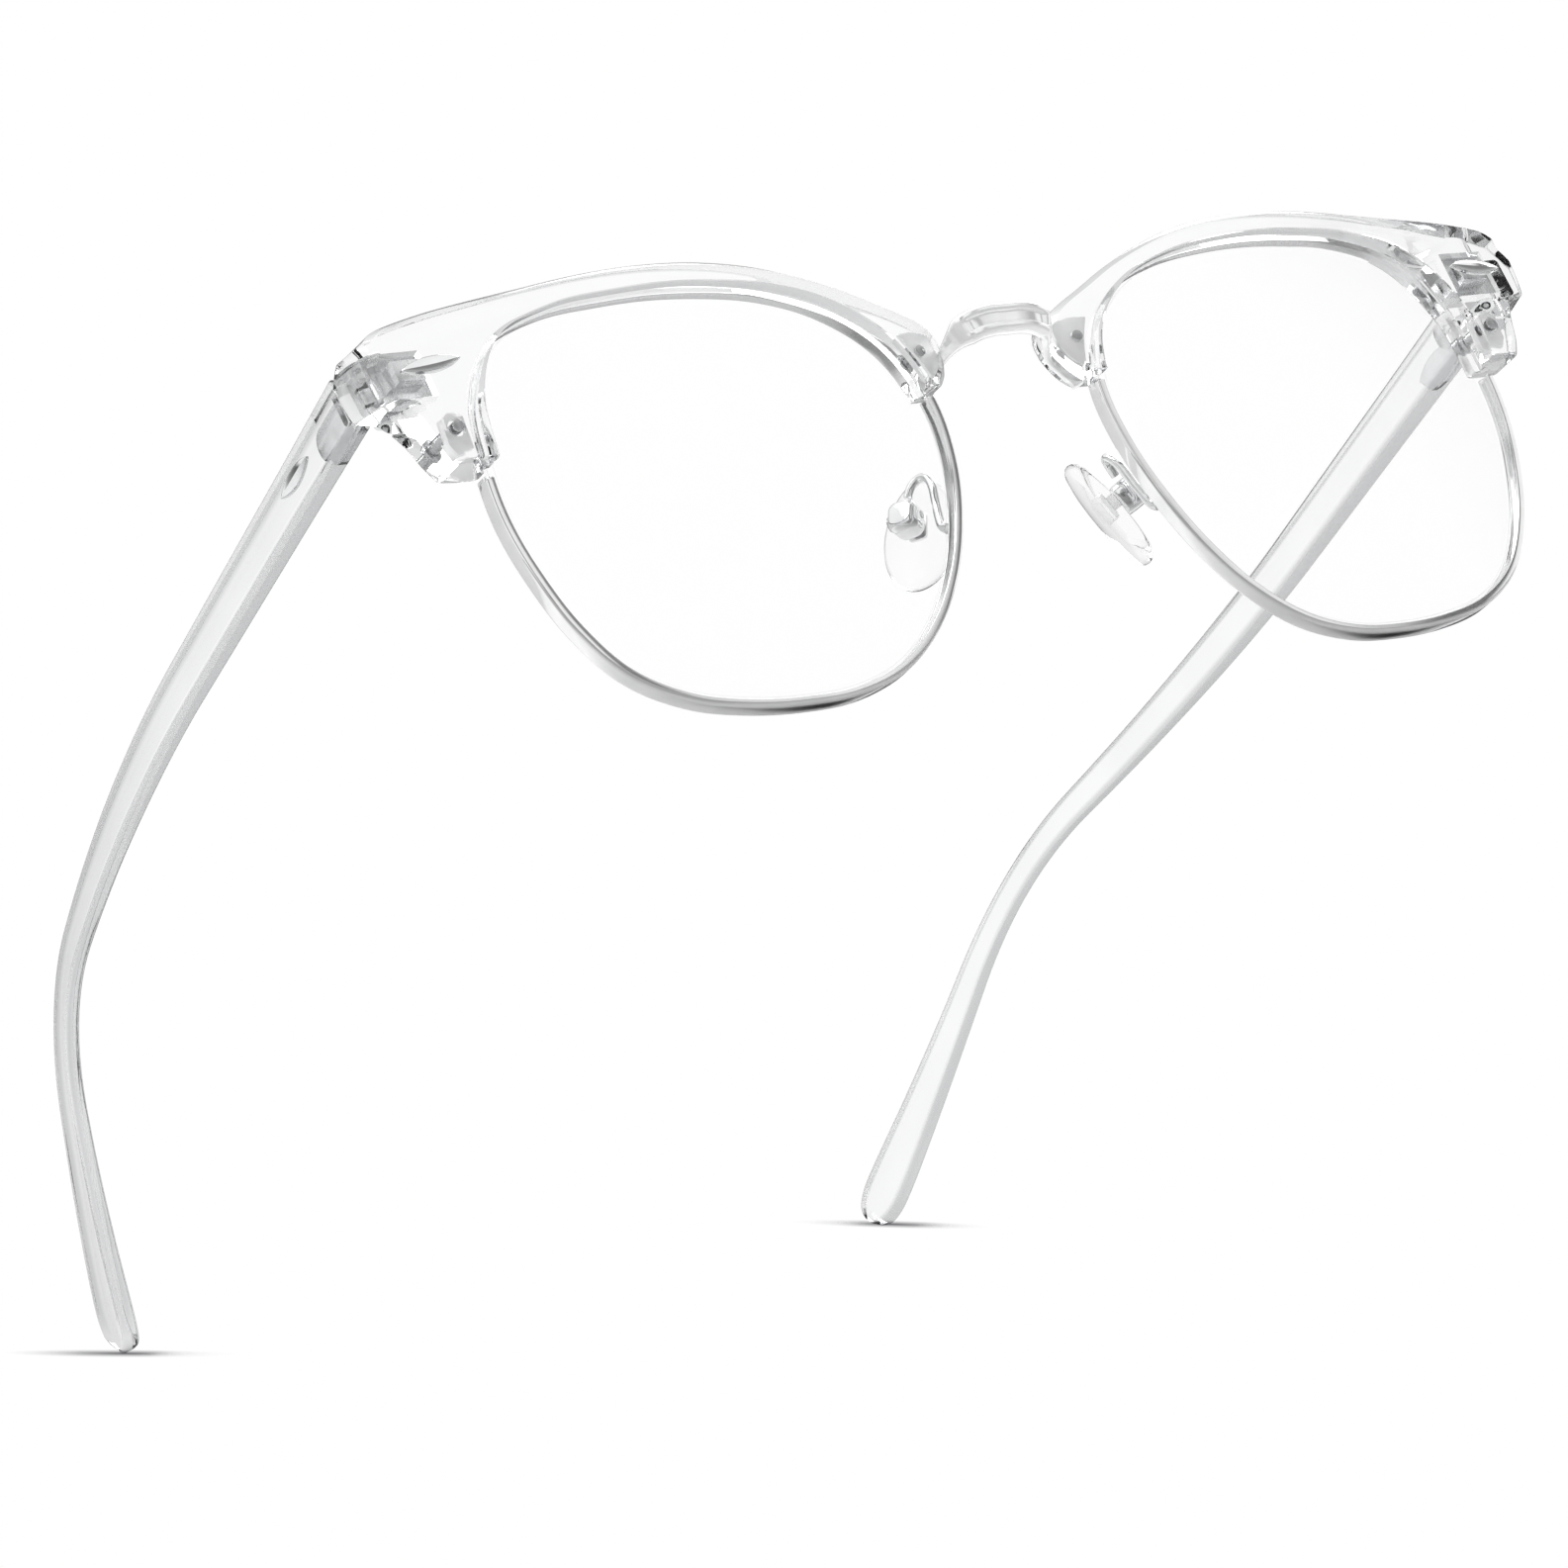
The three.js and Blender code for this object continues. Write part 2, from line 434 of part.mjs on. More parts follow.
function templeBlank() {
  const stations = [0, 5, 12, 20, 30, 40, 50, 58, 66, 73, 80, 86, 91, 96, 101, 106, 111, 116, 121, 126, 130.5, 134.5,
    137.5, 139.5, 141, 142, 142.7, 143];
  const section = [[1, -0.8], [1, 0.8], [0.78, 1], [-0.55, 1], [-0.9, 0.82], [-1, 0.5], [-1, -0.5], [-0.9, -0.82],
    [-0.55, -1], [0.78, -1]];
  return loft(section, stations.length - 1, (j, i) => {
    const s = stations[i], c = templePoint(s), e = 0.4;
    const dir = templePoint(Math.min(s + e, TEMPLE_LEN)).sub(templePoint(Math.max(s - e, 0))).normalize();
    const up = V(1, 0, 0).cross(dir).normalize(), side = dir.clone().cross(up).normalize();
    const round = Math.sqrt(Math.max(0, 1 - (Math.max(0, s - 137.2) / 5.95) ** 2));
    const thin = 0.35 + 0.65 * Math.min(1, round * 1.4);
    const h = (table(TEMPLE_H, s) / 2) * Math.max(0.12, round), t = (table(TEMPLE_T, s) / 2) * thin;
    return c.addScaledVector(side, section[j][0] * t).addScaledVector(up, section[j][1] * h);
  });
}

const templeShieldAt = new THREE.Matrix4().makeBasis(V(0, 1, 0), V(-1, 0, 0), V(0, 0, 1)).setPosition(4.28, 11.2, 0);
function temple() {
  return cut(templeBlank(), box(-3, 2.32, -2, 7.95, -2.05, 2.05), rod(1.62, -6, 6),
    almondSeat(6.5, 1.75, 0.7).applyMatrix4(templeShieldAt)).applyMatrix4(HF);
}
const templeShield = () => almond(6.5, 1.75, 0.35, 0.5).applyMatrix4(templeShieldAt).applyMatrix4(HF);

// ---------------------------------------------------------------- materials
const mat = (color, roughness, metalness, opacity = 1) => new THREE.MeshStandardMaterial({
  color, roughness, metalness, opacity, transparent: opacity < 1,
});
const LOOKS = {
  brow: () => mat(0xf1f2f2, 0.06, 0, 0.4), temple: () => mat(0xeff0f0, 0.08, 0, 0.45),
  lens: () => mat(0xfafcfc, 0.02, 0, 0.15), nose_pad: () => mat(0xf3f4f4, 0.18, 0, 0.5),
  metal: () => mat(0xc9cacc, 0.14, 1), plate: () => mat(0xd2d3d4, 0.45, 0.9), screw: () => mat(0xb4b5b8, 0.25, 1),
};

// ---------------------------------------------------------------- assembly
const side = {
  brow: [brow, "brow"], lens: [lens, "lens"], rim: [rim, "metal"], nasal_plate: [nasalPlate, "plate"],
  plate_screw: [plateScrew, "screw"], temporal_tab: [tabPlate, "plate"], tab_screw: [tabScrew, "screw"],
  pad_arm: [padArm, "metal"], pad_box: [padBoxPiece, "metal"], pad_screw: [padScrew, "screw"],
  pad_insert: [padInsert, "plate"], nose_pad: [nosePad, "nose_pad"], hinge_front_leaf: [frontLeaf, "metal"],
  hinge_temple_leaf: [templeLeaf, "metal"], hinge_screw: [hingeScrew, "screw"], brow_rivet: [browShield, "metal"],
  temple_rivet: [templeShield, "metal"], temple: [temple, "temple"],
};

const group = new THREE.Group();
const pieces = [["bridge", bridge(), "metal"]];
for (const [name, [make, look]] of Object.entries(side)) {
  const geo = closed(make());
  pieces.push([`left_${name}`, geo, look], [`right_${name}`, closed(geo.clone().scale(-1, 1, 1)), look]);
}

// stand the glasses on the surface: lean by REST_TILT, lowest points at z = 0, middle of the box over the origin
const tilt = new THREE.Matrix4().makeRotationX(rad(REST_TILT));
const bounds = new THREE.Box3();
for (const [, geo] of pieces) {
  geo.applyMatrix4(tilt);
  geo.computeBoundingBox();
  bounds.union(geo.boundingBox);
}
const shift = V(-(bounds.min.x + bounds.max.x) / 2, -(bounds.min.y + bounds.max.y) / 2, -bounds.min.z);
for (const [name, geo, look] of pieces) {
  geo.translate(shift.x, shift.y, shift.z);
  geo.computeVertexNormals();
  const mesh = new THREE.Mesh(geo, LOOKS[look]());
  mesh.name = name;
  group.add(mesh);
}

export default group;
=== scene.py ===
"""Half rim eyeglasses in clear plastic and polished metal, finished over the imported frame.

Shapes are laid out in millimetres in the plane of the lenses, for the wearer's left side (+X). They are
mirrored for the right side and stood on the surface by PLACE, which gives metres in the frame of the pack.
"""
import json
import math

import bmesh
import bpy
import numpy as np
from mathutils import Matrix, Vector


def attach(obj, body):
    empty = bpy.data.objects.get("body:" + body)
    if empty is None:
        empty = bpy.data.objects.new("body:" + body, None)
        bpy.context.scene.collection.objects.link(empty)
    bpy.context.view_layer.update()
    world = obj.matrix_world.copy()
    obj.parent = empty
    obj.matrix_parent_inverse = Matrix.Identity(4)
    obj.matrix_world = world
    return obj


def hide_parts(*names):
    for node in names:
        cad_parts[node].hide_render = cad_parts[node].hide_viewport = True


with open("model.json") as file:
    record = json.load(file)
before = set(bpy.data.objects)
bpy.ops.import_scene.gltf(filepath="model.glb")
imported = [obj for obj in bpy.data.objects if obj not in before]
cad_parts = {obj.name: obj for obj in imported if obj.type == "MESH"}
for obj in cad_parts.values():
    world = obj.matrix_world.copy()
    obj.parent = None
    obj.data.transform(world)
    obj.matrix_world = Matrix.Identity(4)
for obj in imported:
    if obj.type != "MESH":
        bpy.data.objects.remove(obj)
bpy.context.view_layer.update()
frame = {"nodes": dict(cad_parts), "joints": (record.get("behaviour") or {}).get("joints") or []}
MM = 0.001

# ---------------------------------------------------------------- driving dimensions, as in the CAD part
LENS_CX = 36.0
WRAP = 0.0646
BASE_R = 128.0
LENS_HALF = 0.8
BEVEL, LENS_MEAN_R = 0.55, 24
LENS_OUTLINE = [
    24.2, 25.0, 26.5, 26.8, 24.8, 22.8, 22.1, 22.4, 23.8, 25.7, 27.0, 26.5,
    25.2, 24.1, 23.6, 23.5, 23.4, 22.9, 22.4, 22.6, 23.4, 24.0, 23.8, 23.7,
]
LIP, GROOVE = 0.25, 0.28
GROOVE_OPEN, GROOVE_FLOOR = 0.62, 0.3
RIM_OUT, RIM_HALF = 0.68, 0.9
RIM_FROM, RIM_TO = 164.2, 371.2
BROW_FRONT, BROW_REAR, BROW_CHAMFER = 1.9, 2.1, 0.8
END_DRAFT, FLAT_FROM, END_SLOPE = 1.5, 14.0, 0.1
DRAFT_X, DRAFT_Z = (63, 69.5), (21.5, 19)
# rear of the outer end: depth at hinge height, its slope, where it sets in past LENS_CX and in z
END_DEPTH, END_DEPTH_SLOPE = 8.0, 0.18
END_X, END_Z = (23, 29.5), (8, 12.5)
REAR_CURVE_TO = 61.5
REST_TILT = math.radians(3.18)
HINGE = (65.9, 8.9, 16.4)
# hinge slots as x, y and z ranges from the hinge axis, and the radius left free round the knuckle
BROW_SLOT = (-4.25, 1.25, -2.7, 3, -2.65, 2.65)
TEMPLE_SLOT = (-3, 2.32, -2, 1.9, -2.05, 2.05)
KNUCKLE_GAP = 1.62
TEMPLE_DROP = math.radians(10.2)
TEMPLE_LEN, TEMPLE_X, TEMPLE_START = 143.0, 2.7, 0.55
BEND_AT, BEND_R, BEND_ANGLE = 89.6, 43.8, 0.562
CURVE_IN, CURVE_FROM, CURVE_POWER = 20.0, 45, 1.75
SHAFT_TO, TIP_FROM, TIP_LEN, TIP_POWER = 138.2, 138.6, 4.42, 0.83
TEMPLE_H = [(0, 5.3), (15, 4.9), (35, 4.6), (60, 4.2), (78, 3.7), (95, 3.2), (105, 3.2), (118, 3.9),
            (130, 5.0), (137, 5.7), (143, 5.7)]
TEMPLE_T = [(0, 3.2), (15, 3.1), (40, 2.8), (65, 2.4), (85, 2.0), (100, 1.8), (115, 1.9), (130, 2.2),
            (143, 2.4)]
BROW_EDGE = [
    (64.1, 6.0, 13.5), (65.3, 8.0, 17), (66.3, 10.6, 21.3), (67.6, 12.7, 25.5), (68.6, 13.2, 27),
    (69.8, 13.4, 28.4), (70.3, 13.8, 29.5), (70.7, 17.0, 35.5), (70.5, 18.0, 36.6), (69.3, 20.0, 39.2),
    (68.6, 20.6, 40.2), (66.0, 21.6, 43), (60.6, 22.7, 47), (53.3, 23.6, 55), (47.9, 24.15, 65),
    (42.5, 24.5, 76), (37, 24.55, 88), (31.7, 24.2, 100), (26.3, 23.3, 111), (21.4, 21.8, 121),
    (16.1, 19.6, 132), (12.2, 17.6, 140.5), (9.2, 16.1, 146.5), (7.6, 15.0, 150), (6.8, 13.6, 153),
    (6.8, 11.6, 156), (7.5, 9.6, 159), (8.2, 8.6, 161.2), (8.9, 8.0, 162.8),
]
BRIDGE_HALF = [
    (0, -1.9, 13.7), (1.6, -1.9, 13.7), (3.2, -1.7, 13.55), (4.5, -1.25, 13.25), (5.2, -0.6, 12.9),
    (5.7, 0.3, 12.5), (6.2, 1.4, 12.0), (6.8, 2.4, 11.4), (7.4, 2.8, 10.7), (8.0, 2.8, 9.9), (8.5, 2.7, 9.1),
    (8.85, 2.5, 8.4), (9.0, 2.3, 7.7),
]
PLATE_AT = (9.7, 12.1)
SHIELD_AT = (63.2, 16.5)
TEMPLE_SHIELD_AT = (4.28, 11.2, 0)
SHIELD_L, SHIELD_W, SHIELD_RISE = 6.5, 1.75, 0.6
SHIELD_DIP = 0.09
# foot of the shield's dome above the plastic, and where its ridge runs, from -1 to 1 across it
SHIELD_STEP, RIDGE_AT = 0.12, -0.5
PAD_BOX = Vector((13.25, 6.8, -2.4))
PAD_LONG = Vector((0.398, -0.04, -0.916)).normalized()
PAD_FACE = Vector((-0.8, 0.5, -0.33))
PAD_L, PAD_W, PAD_T, PAD_DROP = 12.6, 8.0, 2.1, 0.6
PAD_BACK = 1.7
BOX_SHIFT = 0.35
PAD_ARM = [(12.75, 1.98, -6.2), (12.6, 2.9, -5.4), (12.0, 3.4, -3.2), (11.4, 3.7, -0.9), (11.1, 4.4, 0.4),
           (11.3, 5.3, 0.85), (11.9, 6.0, 0.5), (12.35, 6.3, -0.15), (12.6, 6.4, -0.65)]
PAD_WIRE_R = 0.45

# stand the glasses up: lean by REST_TILT about X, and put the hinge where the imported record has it
LEAN = Matrix.Rotation(REST_TILT, 4, "X")
HINGE_M = Vector(next(j["pos_m"] for j in frame["joints"] if j["name"] == "left_temple_fold"))
PLACE = Matrix.Translation(HINGE_M - MM * (LEAN @ Vector(HINGE))) @ LEAN @ Matrix.Scale(MM, 4)


# ---------------------------------------------------------------- helpers
def clamp(x, low, high):
    return min(high, max(low, x))


def smooth(a, b, x):
    t = clamp((x - a) / (b - a), 0, 1)
    return t * t * (3 - 2 * t)


def table(rows, s):
    """Smooth curve through rows of (s, value)."""
    i = 0
    while i < len(rows) - 2 and s > rows[i + 1][0]:
        i += 1
    a, b, c, d = (rows[clamp(k, 0, len(rows) - 1)] for k in (i - 1, i, i + 1, i + 2))
    h = c[0] - b[0]
    t = clamp((s - b[0]) / h, 0, 1)
    m0 = (c[1] - a[1]) / ((c[0] - a[0]) or 1) * h
    m1 = (d[1] - b[1]) / ((d[0] - b[0]) or 1) * h
    t2, t3 = t * t, t ** 3
    return (2 * t3 - 3 * t2 + 1) * b[1] + (t3 - 2 * t2 + t) * m0 + (3 * t2 - 2 * t3) * c[1] + (t3 - t2) * m1


def catmull(points, parts):
    """Points on the smooth curve through the given ones, parts to each stretch."""
    pts = [np.array(p, float) for p in points]
    pts = [2 * pts[0] - pts[1]] + pts + [2 * pts[-1] - pts[-2]]
    out = []
    for i in range(1, len(pts) - 2):
        a, b, c, d = pts[i - 1:i + 3]
        for f in np.arange(parts) / parts:
            out.append(b + 0.5 * f * (c - a + f * (2 * a - 5 * b + 4 * c - d + f * (3 * (b - c) + d - a))))
    return np.array(out + [pts[-2]])


def rounded(corners, radii, parts=3):
    """Closed outline with rounded corners; a radius of 0 keeps one point."""
    pts = [np.array(p, float) for p in corners]
    out = []
    for k, (b, r) in enumerate(zip(pts, radii)):
        to_a, to_c = pts[k - 1] - b, pts[(k + 1) % len(pts)] - b
        la, lc = np.linalg.norm(to_a), np.linalg.norm(to_c)
        if r <= 0:
            out.append(b)
            continue
        t = min(r, 0.45 * la, 0.45 * lc)
        p, q = b + to_a / la * t, b + to_c / lc * t
        out += [(1 - u) ** 2 * p + 2 * u * (1 - u) * b + u * u * q for u in np.linspace(0, 1, parts + 1)]
    return np.array(out)


def soft_ends(rings, radius, both=True):
    """Rings of a loft with its end edges, or only the first, eased over the given radius."""
    def eased(end, inner):
        middle, step = end.mean(0), inner - end
        reach = np.linalg.norm(step, axis=1, keepdims=True)
        size = np.abs(end - middle).max()
        rows = []
        for along, inset in ((1.0, 0.0), (0.5, 0.13), (0.15, 0.5), (0.0, 1.0)):
            ring = end + step * np.minimum(1, along * radius / reach)
            rows.append(ring + (middle - ring) * inset * radius / size)
        return rows
    last = eased(rings[-1], rings[-2]) if both else [rings[-1]]
    return np.array(eased(rings[0], rings[1])[::-1] + list(rings[1:-1]) + last)


def new_mesh(verts, faces):
    mesh = bpy.data.meshes.new("shape")
    mesh.from_pydata([tuple(v) for v in verts], [], faces)
    bm = bmesh.new()
    bm.from_mesh(mesh)
    bmesh.ops.recalc_face_normals(bm, faces=bm.faces)
    bm.to_mesh(mesh)
    bm.free()
    return mesh


def loft(rings, closed=False):
    n, m = len(rings), len(rings[0])
    verts = np.concatenate(rings)
    spans = range(n if closed else n - 1)
    faces = [(i * m + j, i * m + (j + 1) % m, (i + 1) % n * m + (j + 1) % m, (i + 1) % n * m + j)
             for i in spans for j in range(m)]
    if not closed:
        faces += [tuple(range(m)), tuple(range((n - 1) * m, n * m))]
    return new_mesh(verts, faces)


def turned(rings):
    """Solid from one open profile after another round an axis, with a small flat cap at each pole."""
    n, m = len(rings), len(rings[0])
    faces = [(i * m + j, i * m + j + 1, (i + 1) % n * m + j + 1, (i + 1) % n * m + j)
             for i in range(n) for j in range(m - 1)]
    faces += [tuple(i * m for i in range(n)), tuple(i * m + m - 1 for i in range(n))]
    return new_mesh(np.concatenate([np.array(r) for r in rings]), faces)


def prism(points, y0, y1, place=Matrix()):
    """Solid of an outline in (x, z) between two depths."""
    rings = [np.array([place @ Vector((x, y, z)) for x, z in points]) for y in (y0, y1)]
    return loft(rings)


def block(x0, x1, y0, y1, z0, z1, place=Matrix()):
    return prism([(x0, z0), (x1, z0), (x1, z1), (x0, z1)], y0, y1, place)


def rod(radius, z0, z1, place=Matrix(), sides=32):
    """Rod along local z."""
    angles = [2 * math.pi * k / sides for k in range(sides)]
    return loft([np.array([place @ Vector((radius * math.cos(a), radius * math.sin(a), z)) for a in angles])
                 for z in (z0, z1)])


def carve(mesh, cutters):
    """The mesh with each cutter taken out of it."""
    base = bpy.data.objects.new("base", mesh)
    bpy.context.scene.collection.objects.link(base)
    tools = []
    for cutter in cutters:
        tool = bpy.data.objects.new("tool", cutter)
        bpy.context.scene.collection.objects.link(tool)
        tools.append(tool)
        mod = base.modifiers.new("cut", "BOOLEAN")
        mod.operation, mod.solver, mod.object = "DIFFERENCE", "EXACT", tool
    result = bpy.data.meshes.new_from_object(base.evaluated_get(bpy.context.evaluated_depsgraph_get()))
    for obj in tools + [base]:
        bpy.data.objects.remove(obj)
    return result


def frame_at(x_axis, y_axis, z_axis, origin):
    m = Matrix((x_axis, y_axis, z_axis)).transposed().to_4x4()
    m.translation = origin
    return m


def add_piece(name, mesh, body, material, replaces, angle):
    mesh.name = name
    obj = bpy.data.objects.new(name, mesh)
    bpy.context.scene.collection.objects.link(obj)
    mesh.materials.clear()
    mesh.materials.append(material)
    mesh.shade_smooth()
    mesh.set_sharp_from_angle(angle=math.radians(angle))
    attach(obj, body)
    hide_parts(*replaces)


def add_pair(name, mesh, body, material, angle=32):
    """The left piece from a mesh in millimetres, and the right piece mirrored from it."""
    for side, sign in (("left", 1), ("right", -1)):
        copy = mesh.copy()
        copy.transform(PLACE @ Matrix.Scale(sign, 4, Vector((1, 0, 0))))
        if sign < 0:
            copy.flip_normals()
        whole = body.replace("SIDE", side)
        add_piece(f"{side}_{name}_finish", copy, whole, material, (f"{side}_{name}",), angle)


# ---------------------------------------------------------------- lens surface, outline and local frames
def outline(deg):
    t = (deg % 360) / 15
    i = math.floor(t)
    f = t - i
    a, b, c, d = (LENS_OUTLINE[(i + k) % 24] for k in (-1, 0, 1, 2))
    return b + 0.5 * f * (c - a + f * (2 * a - 5 * b + 4 * c - d + f * (3 * (b - c) + d - a)))


def lens_y(x, z):
    u = x - LENS_CX
    return WRAP * u + (u * u + z * z) / (2 * BASE_R)


def on_lens(deg, beyond, depth):
    r, a = outline(deg) + beyond, math.radians(deg)
    x, z = LENS_CX + r * math.cos(a), r * math.sin(a)
    return np.array((x, lens_y(x, z) + depth, z))


def brow_front(x, z):
    """Front face: it follows the lens as far as FLAT_FROM past its middle, then runs on flat."""
    over = max(0.0, x - LENS_CX - FLAT_FROM)
    return lens_y(x - over, z) + END_SLOPE * over - BROW_FRONT


def brow_rear(x, z):
    """Rear face: it follows the lens, and steps back at the outer end to carry the hinge."""
    end = END_DEPTH + END_DEPTH_SLOPE * (z - HINGE[2])
    t = smooth(*END_X, x - LENS_CX) * smooth(*END_Z, z)
    near = lens_y(min(x, REAR_CURVE_TO), z) + BROW_REAR
    return near + (end - near) * t


def surface_frame(x, z):
    u = Vector((1, lens_y(x + 0.5, z) - lens_y(x - 0.5, z), 0)).normalized()
    w0 = Vector((0, lens_y(x, z + 0.5) - lens_y(x, z - 0.5), 1)).normalized()
    n = w0.cross(u).normalized()
    return frame_at(u, n, u.cross(n), (x, lens_y(x, z), z))


def shield_frame():
    x, z = SHIELD_AT
    u = Vector((1, brow_front(x + 0.5, z) - brow_front(x - 0.5, z), -SHIELD_DIP)).normalized()
    w0 = Vector((0, brow_front(x, z + 0.5) - brow_front(x, z - 0.5), 1)).normalized()
    n = w0.cross(u).normalized()
    return frame_at(u, n, u.cross(n), (x, brow_front(x, z), z))


PLATE_FRAME = surface_frame(*PLATE_AT)
SHIELD_FRAME = shield_frame()
HINGE_FRAME = Matrix.Translation(HINGE) @ Matrix.Rotation(-TEMPLE_DROP, 4, "X")
TEMPLE_SHIELD = HINGE_FRAME @ frame_at(
    Vector((0, 1, 0)), Vector((-1, 0, 0)), Vector((0, 0, 1)), TEMPLE_SHIELD_AT)
PAD_NORMAL = (PAD_FACE - PAD_LONG * PAD_FACE.dot(PAD_LONG)).normalized()
PAD_FRAME = frame_at(PAD_LONG.cross(PAD_NORMAL).normalized(), PAD_LONG, PAD_NORMAL, PAD_BOX)


# ---------------------------------------------------------------- material building blocks
def new_material(name):
    mat = bpy.data.materials.new(name)
    mat.use_nodes = True
    return mat, mat.node_tree, mat.node_tree.nodes["Principled BSDF"]


def noise(tree, scale, detail=4.0, stretch=(1, 1, 1)):
    """Noise in object space; scale is in features per metre."""
    coords = tree.nodes.new("ShaderNodeTexCoord")
    mapping = tree.nodes.new("ShaderNodeMapping")
    mapping.inputs["Scale"].default_value = stretch
    tex = tree.nodes.new("ShaderNodeTexNoise")
    tex.inputs["Scale"].default_value = scale
    tex.inputs["Detail"].default_value = detail
    tree.links.new(coords.outputs["Object"], mapping.inputs["Vector"])
    tree.links.new(mapping.outputs["Vector"], tex.inputs["Vector"])
    return tex.outputs["Fac"]


def between(tree, value, low, high, from_low=0.3, from_high=0.7):
    node = tree.nodes.new("ShaderNodeMapRange")
    node.inputs["From Min"].default_value = from_low
    node.inputs["From Max"].default_value = from_high
    node.inputs["To Min"].default_value = low
    node.inputs["To Max"].default_value = high
    tree.links.new(value, node.inputs["Value"])
    return node.outputs["Result"]


def calc(tree, operation, a, b=None, clamped=False):
    node = tree.nodes.new("ShaderNodeMath")
    node.operation, node.use_clamp = operation, clamped
    tree.links.new(a, node.inputs[0])
    if b is not None:
        tree.links.new(b, node.inputs[1])
    return node.outputs["Value"]


def axes(tree, vector):
    """The x, y and z of a vector socket."""
    node = tree.nodes.new("ShaderNodeSeparateXYZ")
    tree.links.new(vector, node.inputs["Vector"])
    return [node.outputs[k] for k in "XYZ"]


def shade(tree, value, dark, light, low=0.35, high=0.65):
    node = tree.nodes.new("ShaderNodeValToRGB")
    node.color_ramp.elements[0].position = low
    node.color_ramp.elements[1].position = high
    node.color_ramp.elements[0].color = (*dark, 1)
    node.color_ramp.elements[1].color = (*light, 1)
    tree.links.new(value, node.inputs["Fac"])
    return node.outputs["Color"]


def bump(tree, bsdf, heights):
    """Chain of (height, strength, depth in metres) bumps into the surface normal."""
    normal = None
    for height, strength, depth in heights:
        node = tree.nodes.new("ShaderNodeBump")
        node.inputs["Strength"].default_value = strength
        node.inputs["Distance"].default_value = depth
        tree.links.new(height, node.inputs["Height"])
        if normal is not None:
            tree.links.new(normal, node.inputs["Normal"])
        normal = node.outputs["Normal"]
    tree.links.new(normal, bsdf.inputs["Normal"])


def blend_colors(tree, fac, a, b):
    node = tree.nodes.new("ShaderNodeMix")
    node.data_type = "RGBA"
    tree.links.new(fac, node.inputs["Factor"])
    tree.links.new(a, node.inputs["A"])
    if isinstance(b, tuple):
        node.inputs["B"].default_value = (*b, 1)
    else:
        tree.links.new(b, node.inputs["B"])
    return node.outputs["Result"]


def clear_plastic(name, dark, light, rough, ior, wave, gloss, edge_shade, top=None):
    """Transparent plastic: faint cloud in its colour, handling marks in the gloss, a slow polished waviness.

    Painted shade: the colour is darkened to the one given as edge where the wall turns away from the view,
    and to the one given as top on the upper and lower faces.
    """
    mat, tree, bsdf = new_material(name)
    bsdf.inputs["Transmission Weight"].default_value = 1.0
    bsdf.inputs["IOR"].default_value = ior
    bsdf.inputs["Specular IOR Level"].default_value = gloss
    cloud = noise(tree, 90, 3)
    marks = noise(tree, 700, 6, (1, 0.35, 1))
    colour_and_painted_shade = shade(tree, cloud, dark, light)
    # painted shade: upper and lower faces darkened to the colour given as top
    if top:
        coords = tree.nodes.new("ShaderNodeTexCoord")
        level = calc(tree, "ABSOLUTE", axes(tree, coords.outputs["Normal"])[2])
        colour_and_painted_shade = blend_colors(tree, between(tree, level, 0, 1, 0.3, 0.8), colour_and_painted_shade, top)
    # painted shade: walls darkened to the colour given as edge where they turn away from the view
    turn = tree.nodes.new("ShaderNodeLayerWeight")
    colour_and_painted_shade = blend_colors(tree, between(tree, turn.outputs["Facing"], 0, 1, 0.4, 0.95), colour_and_painted_shade, edge_shade)
    tree.links.new(colour_and_painted_shade, bsdf.inputs["Base Color"])
    tree.links.new(between(tree, marks, rough[0], rough[1]), bsdf.inputs["Roughness"])
    bump(tree, bsdf, [(noise(tree, 110, 1), 0.2, wave)])
    return mat


def lens_plastic(name):
    """Plano lens: it bends nothing, shows a painted grey sheen where it turns away from the view, and shows
    faint wipe marks.
    """
    mat, tree, bsdf = new_material(name)
    bsdf.inputs["IOR"].default_value = 1.3
    # painted sheen: the grey colour shows through more where the lens turns away from the view
    turn = tree.nodes.new("ShaderNodeLayerWeight")
    tree.links.new(between(tree, turn.outputs["Facing"], 0.012, 0.4, 0.35, 1.0), bsdf.inputs["Alpha"])
    wipes = noise(tree, 240, 5, (1, 0.4, 1))
    tree.links.new(between(tree, wipes, 0.02, 0.06), bsdf.inputs["Roughness"])
    tree.links.new(shade(tree, wipes, (0.80, 0.805, 0.81), (0.88, 0.885, 0.89)), bsdf.inputs["Base Color"])
    bump(tree, bsdf, [(wipes, 0.05, 0.000002)])
    return mat


def metal(name, dark, light, rough, scratch_scale, scratch_depth, grain=0.0, metallic=1.0):
    """Metal: slight tone change, gloss broken by fine one-way scratches, optional blasted grain.

    A metallic below 1 is for a plating that looks whiter than bare metal.
    """
    mat, tree, bsdf = new_material(name)
    bsdf.inputs["Metallic"].default_value = metallic
    tone = noise(tree, 260, 4)
    scratches = noise(tree, scratch_scale, 8, (1, 0.08, 0.3))
    tree.links.new(shade(tree, tone, dark, light), bsdf.inputs["Base Color"])
    tree.links.new(between(tree, scratches, rough[0], rough[1]), bsdf.inputs["Roughness"])
    heights = [(scratches, 0.12, scratch_depth)]
    if grain:
        heights.append((noise(tree, 9000, 2), 0.35, grain))
    bump(tree, bsdf, heights)
    return mat
